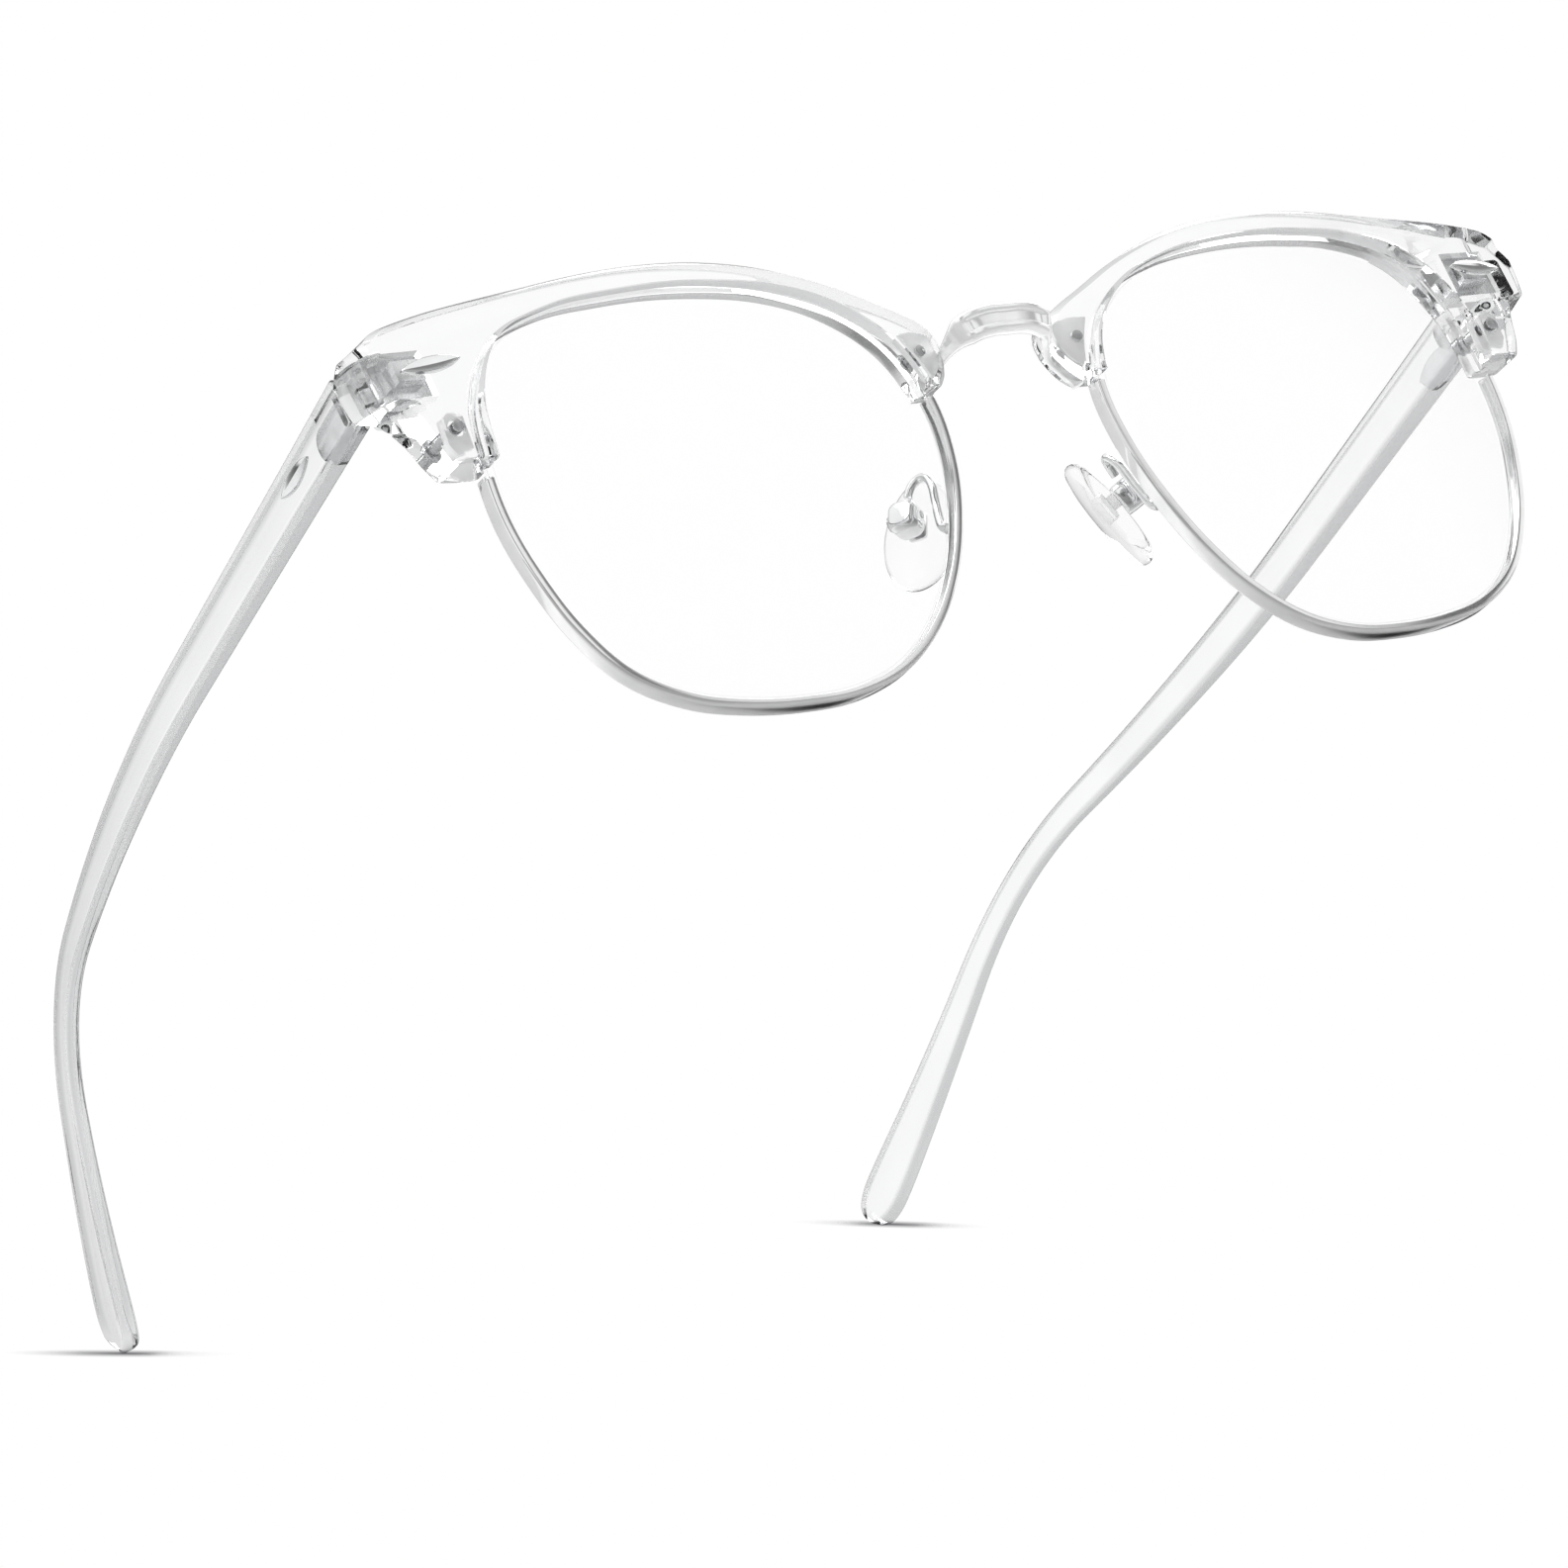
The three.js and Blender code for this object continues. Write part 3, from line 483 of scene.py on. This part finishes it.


# Painted shade on the clear plastics: the colour given as edge darkens a wall where it turns away from the
# view, and the colour given as top darkens the upper and lower faces.
ACETATE_PAINTED_EDGE_SHADE = (0.2, 0.2, 0.21)
ACETATE_IOR = 1.26
ACETATE = clear_plastic(
    "clear_acetate", dark=(0.955, 0.958, 0.96), light=(0.985, 0.987, 0.987), rough=(0.0, 0.02),
    ior=ACETATE_IOR, wave=0.00003, gloss=0.9, edge_shade=ACETATE_PAINTED_EDGE_SHADE, top=(0.64, 0.645, 0.65))
TEMPLE_ACETATE = clear_plastic(
    "temple_acetate", dark=(0.925, 0.928, 0.93), light=(0.96, 0.963, 0.965), rough=(0.0, 0.0),
    ior=ACETATE_IOR, wave=0.000002, gloss=0.9, edge_shade=ACETATE_PAINTED_EDGE_SHADE, top=(0.6, 0.605, 0.61))
LENS_CLEAR = lens_plastic("lens_clear")
# painted shade: the pad darkens to the colour given as edge where it turns away from the view
SILICONE = clear_plastic(
    "pad_silicone", dark=(0.95, 0.95, 0.95), light=(0.98, 0.98, 0.98), rough=(0.03, 0.1),
    ior=1.1, wave=0.00002, gloss=0.8, edge_shade=(0.5, 0.5, 0.5))
POLISHED = metal("polished_metal", (0.78, 0.785, 0.79), (0.90, 0.905, 0.91), (0.05, 0.14), 1800, 0.000003)
BRIDGE_METAL = metal("bridge_metal", (0.94, 0.943, 0.946), (0.99, 0.99, 0.99), (0.05, 0.11), 1400, 0.000003,
                     metallic=0.5)
RIM_METAL = metal("rim_metal", (0.90, 0.903, 0.906), (0.98, 0.98, 0.98), (0.03, 0.09), 1800, 0.000003,
                  metallic=0.86)
SATIN = metal("satin_metal", (0.93, 0.935, 0.94), (0.985, 0.985, 0.985), (0.34, 0.5), 1200, 0.000006, 0.00001)
HINGE_METAL = metal("hinge_metal", (0.70, 0.705, 0.71), (0.88, 0.885, 0.89), (0.14, 0.34), 2600, 0.000008)
SCREW_STEEL = metal("screw_steel", (0.40, 0.405, 0.41), (0.58, 0.585, 0.59), (0.12, 0.3), 3200, 0.000008)


# ---------------------------------------------------------------- lenses
def lens():
    around, h, peak = 180, LENS_HALF, 1 - BEVEL / LENS_MEAN_R
    half = [(0.02, -h), (0.2, -h), (0.4, -h), (0.6, -h), (0.8, -h), (0.93, -h), (peak - 0.003, -h),
            (peak, -h + 0.08), (peak, -0.45), (0.998, -0.12)]
    profile = half + [(1, 0)] + [(r, -depth) for r, depth in half[::-1]]
    rings = []
    for i in range(around):
        deg = 360 * i / around
        ring = []
        for k, depth in profile:
            r, a = k * outline(deg), math.radians(deg)
            x, z = LENS_CX + r * math.cos(a), r * math.sin(a)
            ring.append((x, lens_y(x, z) + depth, z))
        rings.append(ring)
    return turned(rings)


add_pair("lens", lens(), "front", LENS_CLEAR, angle=28)


# ---------------------------------------------------------------- half rims
def rim():
    a = RIM_HALF
    section = [(-LIP, GROOVE_OPEN), (-LIP, a), (RIM_OUT, a), (RIM_OUT, -a), (-LIP, -a),
               (-LIP, -GROOVE_OPEN), (GROOVE, -GROOVE_FLOOR), (GROOVE, GROOVE_FLOOR)]
    radii = [0.04, 0.12, 0.3, 0.3, 0.12, 0.04, 0.06, 0.06]
    steps = 220
    rings = []
    for i in range(steps + 1):
        deg = RIM_FROM + (RIM_TO - RIM_FROM) * i / steps
        rings.append(rounded([on_lens(deg, *p) for p in section], radii, 4))
    return loft(soft_ends(np.array(rings), 0.1))


add_pair("rim", rim(), "front", RIM_METAL, angle=40)


# ---------------------------------------------------------------- clear brow pieces
def brow_blank():
    rings = []
    for ox, oz, deg in catmull(BROW_EDGE, 6):
        inner = on_lens(deg, -LIP, 0)
        inner[1] = 0
        across = np.array((ox, 0, oz)) - inner
        width = np.linalg.norm(across)
        across /= width
        big = min(BROW_CHAMFER, width * 0.3)
        draft = END_DRAFT * smooth(*DRAFT_X, ox) * smooth(*DRAFT_Z, oz)

        def at(d, face, lift=0.0):
            x, _, z = inner + across * d
            return (x, face(x, z) + lift, z)

        flat = width - big - draft
        corners = [at(0, brow_front), at(flat * 0.33, brow_front), at(flat * 0.66, brow_front),
                   at(flat, brow_front), at(width - draft, brow_front, big),
                   at(width, brow_rear), at(width * 0.66, brow_rear), at(width * 0.33, brow_rear),
                   at(0, brow_rear), at(0, lens_y, GROOVE_OPEN), at(LIP + GROOVE, lens_y, GROOVE_FLOOR),
                   at(LIP + GROOVE, lens_y, -GROOVE_FLOOR), at(0, lens_y, -GROOVE_OPEN)]
        radii = [0.32, 0, 0, 0.14, 0.14, 0.34, 0, 0, 0.32, 0.04, 0.06, 0.06, 0.04]
        rings.append(rounded(corners, radii, 3))
    return loft(soft_ends(np.array(rings), 0.3))


def brow():
    """The blank with its open hinge slot.

    Tab, plate and shields are bedded in the plastic with no air gap.
    """
    return carve(brow_blank(), [block(*BROW_SLOT, HINGE_FRAME), rod(KNUCKLE_GAP, -5, 6, HINGE_FRAME)])


add_pair("brow", brow(), "front", ACETATE)


# ---------------------------------------------------------------- almond shields on brow and temple
def shield(place, base):
    """Almond stud with a soft ridge along it."""
    steps, across = 64, 16
    rings = []
    for i in range(steps + 1):
        t = clamp(2 * i / steps - 1, -0.995, 0.995)
        w = max(0.06, SHIELD_W / 2 * (1 - t * t) ** 0.8)
        rise = SHIELD_RISE * max(0.05, (1 - t * t) ** 0.6)
        x = t * SHIELD_L / 2
        top = []
        for v in np.linspace(-1, 1, across + 1):
            off = abs(v - RIDGE_AT) / (1 - RIDGE_AT if v > RIDGE_AT else 1 + RIDGE_AT)
            top.append((x, -SHIELD_STEP - rise * (1 - 0.7 * off - 0.3 * off ** 4), v * w * 0.97))
        rings.append(np.array([place @ Vector(p) for p in [(x, base, -w)] + top + [(x, base, w)]]))
    return loft(np.array(rings))


add_pair("brow_rivet", shield(SHIELD_FRAME, 0.4), "front", POLISHED, angle=50)
add_pair("temple_rivet", shield(TEMPLE_SHIELD, 0.35), "SIDE_temple_arm", POLISHED, angle=50)


# ---------------------------------------------------------------- bridge
# past FLAT_X its front groove fills up, and across SLIM_X it thins down into its foot
FLAT_X, FLAT_LIFT = (4.0, 4.8), 0.4
SLIM_X, SLIM_BY = (4.6, 6.3), 0.58


def bridge():
    mirrored = [(-x, y, z) for x, y, z in BRIDGE_HALF[:0:-1]]
    path = catmull(mirrored + BRIDGE_HALF, 10)
    section = [(-1.6, -0.35), (-1.25, -0.9), (-0.75, -0.9), (-0.55, -0.5), (0.55, -0.5), (0.75, -0.9),
               (1.25, -0.9), (1.6, -0.35), (1.6, 0.5), (1.15, 0.9), (-1.15, 0.9), (-1.6, 0.5)]
    radii = [0.35, 0.2, 0.2, 0.12, 0.12, 0.2, 0.2, 0.35, 0.35, 0.35, 0.35, 0.35]
    directions = np.gradient(path, axis=0)
    rings = []
    for c, d in zip(path, directions):
        c, d = Vector(c), Vector(d).normalized()
        out = Vector((math.copysign(0.35, c.x) * smooth(1, 6, abs(c.x)), 0, 1))
        side = (out - d * out.dot(d)).normalized()
        back = side.cross(d).normalized()
        flat, slim = smooth(*FLAT_X, abs(c.x)), 1 - SLIM_BY * smooth(*SLIM_X, abs(c.x))
        corners = []
        for j, (a, b) in enumerate(section):
            lift = FLAT_LIFT * flat if j in (3, 4) else 0.0
            corners.append(c + side * a * slim + back * (b - lift) * slim)
        rings.append(rounded(corners, [r * slim for r in radii], 3))
    mesh = loft(soft_ends(np.array(rings), 0.12))
    mesh.transform(PLACE)
    return mesh


add_piece("bridge_finish", bridge(), "front", BRIDGE_METAL, ("bridge",), 45)


# ---------------------------------------------------------------- nose pads and their wires
def nose_pad():
    profile = [(0.02, 0), (0.4, 0), (0.7, 0), (0.86, 0.02), (0.94, 0.14), (0.985, 0.32), (1, 0.52),
               (0.985, 0.72), (0.93, 0.88), (0.8, 0.98), (0.6, 1.04), (0.35, 1.08), (0.02, 1.1)]
    rings = []
    around = 96
    for i in range(around):
        a = 2 * math.pi * i / around
        ring = []
        for r, y in profile:
            x, z = r * math.sin(a), r * math.cos(a)
            wide, long = x * PAD_W * (1 + 0.1 * z) / 2, z * PAD_L / 2 + PAD_DROP
            ring.append(PAD_FRAME @ Vector((wide, long, PAD_BACK + y * PAD_T / 1.1)))
        rings.append(ring)
    return turned(rings)


def pad_arm():
    path = catmull(PAD_ARM, 12)
    directions = np.gradient(path, axis=0)
    rings = []
    for i, (c, d) in enumerate(zip(path, directions)):
        d = Vector(d).normalized()
        u = d.cross(Vector((1, 0, 0))).normalized()
        v = d.cross(u)
        foot = smooth(14, 0, i)  # hammered flat where it is soldered to the rim
        u, v = u * PAD_WIRE_R * (1 + 0.3 * foot), v * PAD_WIRE_R * (1 - 0.2 * foot)
        ring = [Vector(c) + u * math.cos(t) + v * math.sin(t)
                for t in np.linspace(0, 2 * math.pi, 24, endpoint=False)]
        rings.append(np.array(ring))
    return loft(soft_ends(np.array(rings), 0.15))


def pad_box():
    """Rounded cup soldered on the wire, which holds the tongue of the pad."""
    a, b = 1.5, 1.65
    outline_box = rounded([(-a, -b), (a, -b), (a, b), (-a, b)], [1.2] * 4, 8)
    rings = []
    for height, scale in ((-1.45, 0.62), (-1.42, 0.74), (-1.3, 0.88), (-1.05, 0.97), (-0.75, 1.0), (0.0, 1.0),
                          (0.75, 0.98), (1.05, 0.94), (1.2, 0.88), (1.24, 0.8)):
        ring = [PAD_FRAME @ Vector((x * scale, y * scale + BOX_SHIFT, height)) for x, y in outline_box]
        rings.append(np.array(ring))
    return carve(loft(np.array(rings)), [block(-0.82, 0.82, -1.0, 1.0, -0.3, 3, PAD_FRAME)])


add_pair("nose_pad", nose_pad(), "SIDE_pad", SILICONE)
add_pair("pad_arm", pad_arm(), "front", POLISHED, angle=50)
add_pair("pad_box", pad_box(), "front", POLISHED, angle=50)


# ---------------------------------------------------------------- temples
def temple_point(s):
    """Middle of the temple at length s, in the frame of its hinge."""
    arc = BEND_R * BEND_ANGLE
    a = clamp((s - BEND_AT) / BEND_R, 0, BEND_ANGLE)
    rest = max(0.0, s - BEND_AT - arc)
    y = min(s, BEND_AT) + BEND_R * math.sin(a) + rest * math.cos(BEND_ANGLE)
    z = -BEND_R * (1 - math.cos(a)) - rest * math.sin(BEND_ANGLE)
    x = TEMPLE_X - CURVE_IN * max(0.0, (s - CURVE_FROM) / (TEMPLE_LEN - CURVE_FROM)) ** CURVE_POWER
    return Vector((x, y - TEMPLE_START, z))


def temple():
    stations = [(s, 1.0) for s in np.linspace(0, SHAFT_TO, 92)]
    for turn in np.linspace(0.12, 1.46, 22):
        stations.append((TIP_FROM + TIP_LEN * math.sin(turn) ** TIP_POWER, math.cos(turn) ** TIP_POWER))
    section = [(1, -1), (1, 1), (-1, 1), (-1, -1)]
    rings = []
    for s, close in stations:
        c, e = temple_point(s), 0.4
        d = (temple_point(min(s + e, TEMPLE_LEN)) - temple_point(max(s - e, 0))).normalized()
        up = Vector((1, 0, 0)).cross(d).normalized()
        side = d.cross(up).normalized()
        thin = 0.35 + 0.65 * min(1, close * 1.4)
        h, t = table(TEMPLE_H, s) / 2 * close, table(TEMPLE_T, s) / 2 * thin
        corners = [c + side * x * t + up * z * h for x, z in section]
        outer, inner = min(0.45, h * 0.5), min(1.0, h * 0.7)
        rings.append(rounded(corners, [outer, outer, inner, inner], 5))
    mesh = loft(soft_ends(np.array(rings), 0.25, both=False))
    mesh.transform(HINGE_FRAME)
    return carve(mesh, [block(*TEMPLE_SLOT, HINGE_FRAME), rod(KNUCKLE_GAP, -6, 6, HINGE_FRAME)])


add_pair("temple", temple(), "SIDE_temple_arm", TEMPLE_ACETATE)


# ---------------------------------------------------------------- small metal pieces
LEAF_END_FROM, LEAF_CORNER_R = 7.4, 1.5
SAME_POINT, FLAT_ANGLE, SHARP_ANGLE = 0.002, math.radians(1.5), math.radians(35)


def round_leaf_end(bm):
    """Round the far corners of the temple leaf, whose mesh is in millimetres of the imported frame."""
    to_hinge = HINGE_FRAME.inverted() @ PLACE.inverted() @ Matrix.Scale(MM, 4)
    ends = []
    for e in bm.edges:
        near = [Vector((abs(v.co.x), v.co.y, v.co.z)) for v in e.verts]
        p, q = (to_hinge @ Vector(c) for c in near)
        if min(p.y, q.y) > LEAF_END_FROM and abs(p.x - q.x) > 0.5:
            ends.append(e)
    bmesh.ops.bevel(bm, geom=ends, offset=LEAF_CORNER_R, segments=8, profile=0.5, affect="EDGES")


def refined(node, body, material, ease):
    """The CAD solid with its flat faces merged and its edges broken by a small bevel."""
    mesh = frame["nodes"][node].data.copy()
    mesh.transform(Matrix.Scale(1 / MM, 4))
    bm = bmesh.new()
    bm.from_mesh(mesh)
    bmesh.ops.remove_doubles(bm, verts=bm.verts, dist=SAME_POINT)
    bmesh.ops.dissolve_limit(bm, angle_limit=FLAT_ANGLE, verts=bm.verts, edges=bm.edges)
    if "temple_leaf" in node:
        round_leaf_end(bm)
    edges = [e for e in bm.edges if len(e.link_faces) == 2 and e.calc_face_angle(0) > SHARP_ANGLE]
    bmesh.ops.bevel(bm, geom=edges, offset=ease, segments=2, profile=0.6, affect="EDGES", clamp_overlap=True)
    bm.to_mesh(mesh)
    bm.free()
    mesh.transform(Matrix.Scale(MM, 4))
    add_piece(f"{node}_finish", mesh, body, material, (node,), 30)


PLATE = [(-1.9, 2.25), (-2.35, 1.8), (-2.45, 1.2), (-2.45, -0.3), (-1.8, -2.1), (-1.1, -3.0), (-0.4, -3.6),
         (-0.15, -3.4), (0.4, -1.6), (1.0, 0), (1.95, 1.9), (2.15, 2.35), (0, 2.65)]


def nasal_plate():
    """Thin plate bedded behind the nose end of the brow, with its corners rounded."""
    flat = rounded([(0.86 * x, 0.86 * z) for x, z in PLATE], [0.5] * len(PLATE), 3)
    rings = [np.array([PLATE_FRAME @ Vector((x, y, z)) for x, z in flat]) for y in (-0.75, -0.6, -0.45, -0.3)]
    return loft(soft_ends(np.array(rings), 0.06))


def pad_insert():
    """Small plate moulded into the pad, with the tongue that fits the cup."""
    plate = rounded([(-1.0, -1.5), (1.0, -1.5), (1.0, 1.5), (-1.0, 1.5)], [0.5] * 4, 5)
    tongue = rounded([(-0.5, -0.75), (0.5, -0.75), (0.5, 0.75), (-0.5, 0.75)], [0.15] * 4, 3)
    both = bmesh.new()
    for shape, low, high in ((plate, 2.1, 2.45), (tongue, 0.1, 2.3)):
        heights = (low, low + 0.1, high - 0.1, high)
        rings = [np.array([PAD_FRAME @ Vector((x, y, h)) for x, y in shape]) for h in heights]
        both.from_mesh(loft(soft_ends(np.array(rings), 0.05)))
    mesh = bpy.data.meshes.new("insert")
    both.to_mesh(mesh)
    both.free()
    return mesh


add_pair("nasal_plate", nasal_plate(), "front", SATIN)
add_pair("pad_insert", pad_insert(), "SIDE_pad", SATIN)

SMALL = [
    ("plate_screw", "front", "screw_steel", SCREW_STEEL, 0.05),
    ("temporal_tab", "front", "satin_metal", SATIN, 0.06),
    ("tab_screw", "front", "screw_steel", SCREW_STEEL, 0.05),
    ("pad_screw", "front", "screw_steel", SCREW_STEEL, 0.05),
    ("hinge_front_leaf", "front", "hinge_metal", HINGE_METAL, 0.08),
    ("hinge_temple_leaf", "SIDE_temple_arm", "hinge_metal", HINGE_METAL, 0.08),
    ("hinge_screw", "front", "screw_steel", SCREW_STEEL, 0.05),
]
for side_name in ("left", "right"):
    for small_name, small_body, small_slot, small_material, small_ease in SMALL:
        refined(f"{side_name}_{small_name}", small_body.replace("SIDE", side_name),
                small_material, small_ease)


# ---------------------------------------------------------------- floor, lights, surroundings and camera
def reflected(tree, path):
    """1 for a ray that was mirrored, 0 for one that came straight or through clear plastic."""
    return calc(tree, "SUBTRACT", path.outputs["Is Glossy Ray"], path.outputs["Is Transmission Ray"], True)


def floor():
    """Pale floor, clear from below. Seen through clear plastic it is painted a darker grey, a painted shade,
    and seen in a mirror it is painted dark in front of the glasses, a painted reflection.
    """
    reach, level = 4, -0.0001
    corners = [(-reach, -reach, level), (reach, -reach, level), (reach, reach, level), (-reach, reach, level)]
    mesh = new_mesh(corners, [(0, 1, 2, 3)])
    obj = bpy.data.objects.new("floor", mesh)
    bpy.context.scene.collection.objects.link(obj)
    mat, tree, bsdf = new_material("pale_floor_with_painted_shade")
    bsdf.inputs["Roughness"].default_value = 0.6
    pale = shade(tree, noise(tree, 2, 3), (0.86, 0.86, 0.865), (0.9, 0.9, 0.9))
    coords = tree.nodes.new("ShaderNodeTexCoord")
    # painted reflection: seen in a mirror, the floor turns dark in front of the glasses and pale towards the
    # rear
    to_rear = between(tree, axes(tree, coords.outputs["Object"])[1], 0, 1, -0.09, -0.03)
    mirrored = shade(tree, to_rear, (0.16, 0.16, 0.16), (0.75, 0.75, 0.75), 0, 1)
    path = tree.nodes.new("ShaderNodeLightPath")
    # painted shade: seen through clear plastic, the floor is a darker grey
    tone = blend_colors(tree, path.outputs["Is Transmission Ray"], pale, (0.68, 0.68, 0.68))
    tree.links.new(blend_colors(tree, reflected(tree, path), tone, mirrored), bsdf.inputs["Base Color"])
    clear = tree.nodes.new("ShaderNodeBsdfTransparent")
    mix = tree.nodes.new("ShaderNodeMixShader")
    geometry = tree.nodes.new("ShaderNodeNewGeometry")
    tree.links.new(geometry.outputs["Backfacing"], mix.inputs["Fac"])
    tree.links.new(bsdf.outputs["BSDF"], mix.inputs[1])
    tree.links.new(clear.outputs["BSDF"], mix.inputs[2])
    tree.links.new(mix.outputs["Shader"], tree.nodes["Material Output"].inputs["Surface"])
    mesh.materials.append(mat)


SHADOW_LONG, SHADOW_WIDE, SHADOW_TURN = 0.037, 0.0018, math.radians(19.5)
SHADOW_TONE, SHADOW_REACH = (0.12, 0.12, 0.13), 0.025


def contact_shadow(side):
    """Painted shadow: a soft dark streak on the floor, seen from below, where a temple tip stands close above
    it.
    """
    tip = min((v.co for v in frame["nodes"][f"{side}_temple"].data.vertices), key=lambda co: co.z)
    around = [2 * math.pi * k / 48 for k in range(48)]
    mesh = new_mesh([(math.cos(a), math.sin(a), 0) for a in around], [tuple(range(48))])
    obj = bpy.data.objects.new(f"{side}_tip_shadow", mesh)
    obj.location = (tip.x, tip.y, -0.00005)
    obj.rotation_euler = (0, 0, SHADOW_TURN)
    obj.scale = (SHADOW_LONG / 2, SHADOW_WIDE / 2, 1)
    bpy.context.scene.collection.objects.link(obj)
    mat, tree, bsdf = new_material(f"{side}_tip_shadow")
    tree.nodes.remove(bsdf)
    coords = tree.nodes.new("ShaderNodeTexCoord")
    length = tree.nodes.new("ShaderNodeVectorMath")
    length.operation = "LENGTH"
    clear = tree.nodes.new("ShaderNodeBsdfTransparent")
    tree.links.new(coords.outputs["Object"], length.inputs[0])
    dark = shade(tree, length.outputs["Value"], SHADOW_TONE, (1, 1, 1), 0.0, 1.0)
    upward = tree.nodes.new("ShaderNodeCombineXYZ")
    upward.inputs["Z"].default_value = 1
    near = tree.nodes.new("ShaderNodeAmbientOcclusion")
    near.samples = 8
    near.inputs["Distance"].default_value = SHADOW_REACH
    tree.links.new(upward.outputs["Vector"], near.inputs["Normal"])
    covered = between(tree, near.outputs["AO"], 1, 0, 0.94, 1.0)
    below = tree.nodes.new("ShaderNodeNewGeometry")
    lit = between(tree, calc(tree, "MULTIPLY", covered, below.outputs["Backfacing"]), 1, 0, 0.0, 1.0)
    tree.links.new(blend_colors(tree, lit, dark, (1, 1, 1)), clear.inputs["Color"])
    tree.links.new(clear.outputs["BSDF"], tree.nodes["Material Output"].inputs["Surface"])
    mesh.materials.append(mat)


def area_light(name, at, size, power):
    data = bpy.data.lights.new(name, "AREA")
    data.shape, data.size, data.energy = "SQUARE", size, power
    obj = bpy.data.objects.new(name, data)
    obj.location = at
    obj.rotation_euler = (-Vector(at)).to_track_quat("-Z", "Y").to_euler()
    bpy.context.scene.collection.objects.link(obj)


def wall_tones(tree, part, stops):
    """Grey tone by one part of the direction, from a list of (part, tone)."""
    ramp = tree.nodes.new("ShaderNodeValToRGB")
    ramp.color_ramp.elements.remove(ramp.color_ramp.elements[1])
    ramp.color_ramp.elements[0].position = 0.0
    ramp.color_ramp.elements[0].color = (0.7, 0.7, 0.7, 1)
    for x, tone in stops:
        ramp.color_ramp.elements.new((x + 1) / 2).color = (tone, tone, tone, 1)
    tree.links.new(between(tree, part, 0, 1, -1, 1), ramp.inputs["Fac"])
    return ramp.outputs["Color"]


# tones of the surroundings by direction, from -1 to 1: across for the walls, height for the ceiling
SOFT_WALLS = [(-0.8, 0.7), (-0.72, 1.0), (-0.42, 1.0), (-0.36, 0.3), (-0.18, 0.3), (-0.12, 0.6), (0.2, 0.42),
              (0.5, 0.48), (0.62, 0.75), (0.8, 0.35), (0.86, 0.35), (0.92, 0.9)]
BACK_WALLS = [(-0.2, 0.6), (0.1, 1.0)]
CEILING = [(0.45, 0.9), (0.56, 1.0), (0.6, 0.04), (0.67, 0.04), (0.71, 1.0), (1.0, 1.0)]
GLOSS_WALLS = [(-0.8, 0.7), (-0.72, 1.0), (-0.42, 1.0), (-0.38, 0.02), (-0.18, 0.02), (-0.14, 0.9),
               (0.1, 0.8), (0.16, 0.12), (0.24, 0.12), (0.3, 0.6), (0.58, 0.85), (0.7, 0.45), (0.76, 0.08),
               (0.84, 0.08), (0.88, 0.9)]


def surroundings():
    """White all round for the camera; light walls for refraction; softboxes and black flags for gloss."""
    world = bpy.data.worlds.new("studio")
    world.use_nodes = True
    bpy.context.scene.world = world
    tree = world.node_tree
    background = tree.nodes["Background"]
    coords = tree.nodes.new("ShaderNodeTexCoord")
    x, y, z = axes(tree, coords.outputs["Generated"])
    overhead = shade(tree, z, (1.0, 1.0, 1.0), (0.85, 0.85, 0.85), 0.5, 0.9)
    behind = between(tree, y, 0.0, 1.0, -0.25, 0.1)
    above = between(tree, z, 0.0, 1.0, 0.45, 0.7)
    soft = blend_colors(tree, behind, wall_tones(tree, x, SOFT_WALLS), overhead)
    soft = blend_colors(tree, above, soft, overhead)
    rear_left = calc(tree, "MULTIPLY", between(tree, y, 0, 1, 0.45, 0.7), between(tree, x, 0, 1, 0.15, 0.4))
    backdrop = blend_colors(tree, rear_left, wall_tones(tree, x, BACK_WALLS), (0.1, 0.1, 0.105))
    gloss = blend_colors(tree, behind, wall_tones(tree, x, GLOSS_WALLS), backdrop)
    gloss = blend_colors(tree, above, gloss, wall_tones(tree, z, CEILING))
    path = tree.nodes.new("ShaderNodeLightPath")
    seen = blend_colors(tree, reflected(tree, path), soft, gloss)
    seen = blend_colors(tree, path.outputs["Is Camera Ray"], seen, (1, 1, 1))
    tree.links.new(seen, background.inputs["Color"])
    background.inputs["Strength"].default_value = 1.0


# where the viewer stands, in the frame of the lens plane, and which way they look
CAMERA_LENS, CAMERA_SENSOR = 187.15, 36.0
CAMERA_AT = PLACE @ Vector((-466.559, -587.091, -265.663))
CAMERA_VIEW = (LEAN @ Vector((0.556711, 0.771427, 0.308176))).normalized()
CAMERA_RIGHT = (LEAN @ Vector((0.823708, -0.464576, -0.325076))).normalized()


def camera():
    data = bpy.data.cameras.new("camera")
    data.lens, data.sensor_width = CAMERA_LENS, CAMERA_SENSOR
    data.clip_start, data.clip_end = 0.01, 50
    obj = bpy.data.objects.new("camera", data)
    up = CAMERA_RIGHT.cross(CAMERA_VIEW)
    obj.matrix_world = frame_at(CAMERA_RIGHT, up, -CAMERA_VIEW, CAMERA_AT)
    bpy.context.scene.collection.objects.link(obj)
    bpy.context.scene.camera = obj


floor()
contact_shadow("left")
contact_shadow("right")
area_light("key", (-0.5, -0.4, 1.3), 0.8, 9)
area_light("fill", (0.9, 0.3, 0.9), 0.7, 4)
surroundings()
camera()
bpy.context.scene.view_settings.view_transform = "Standard"
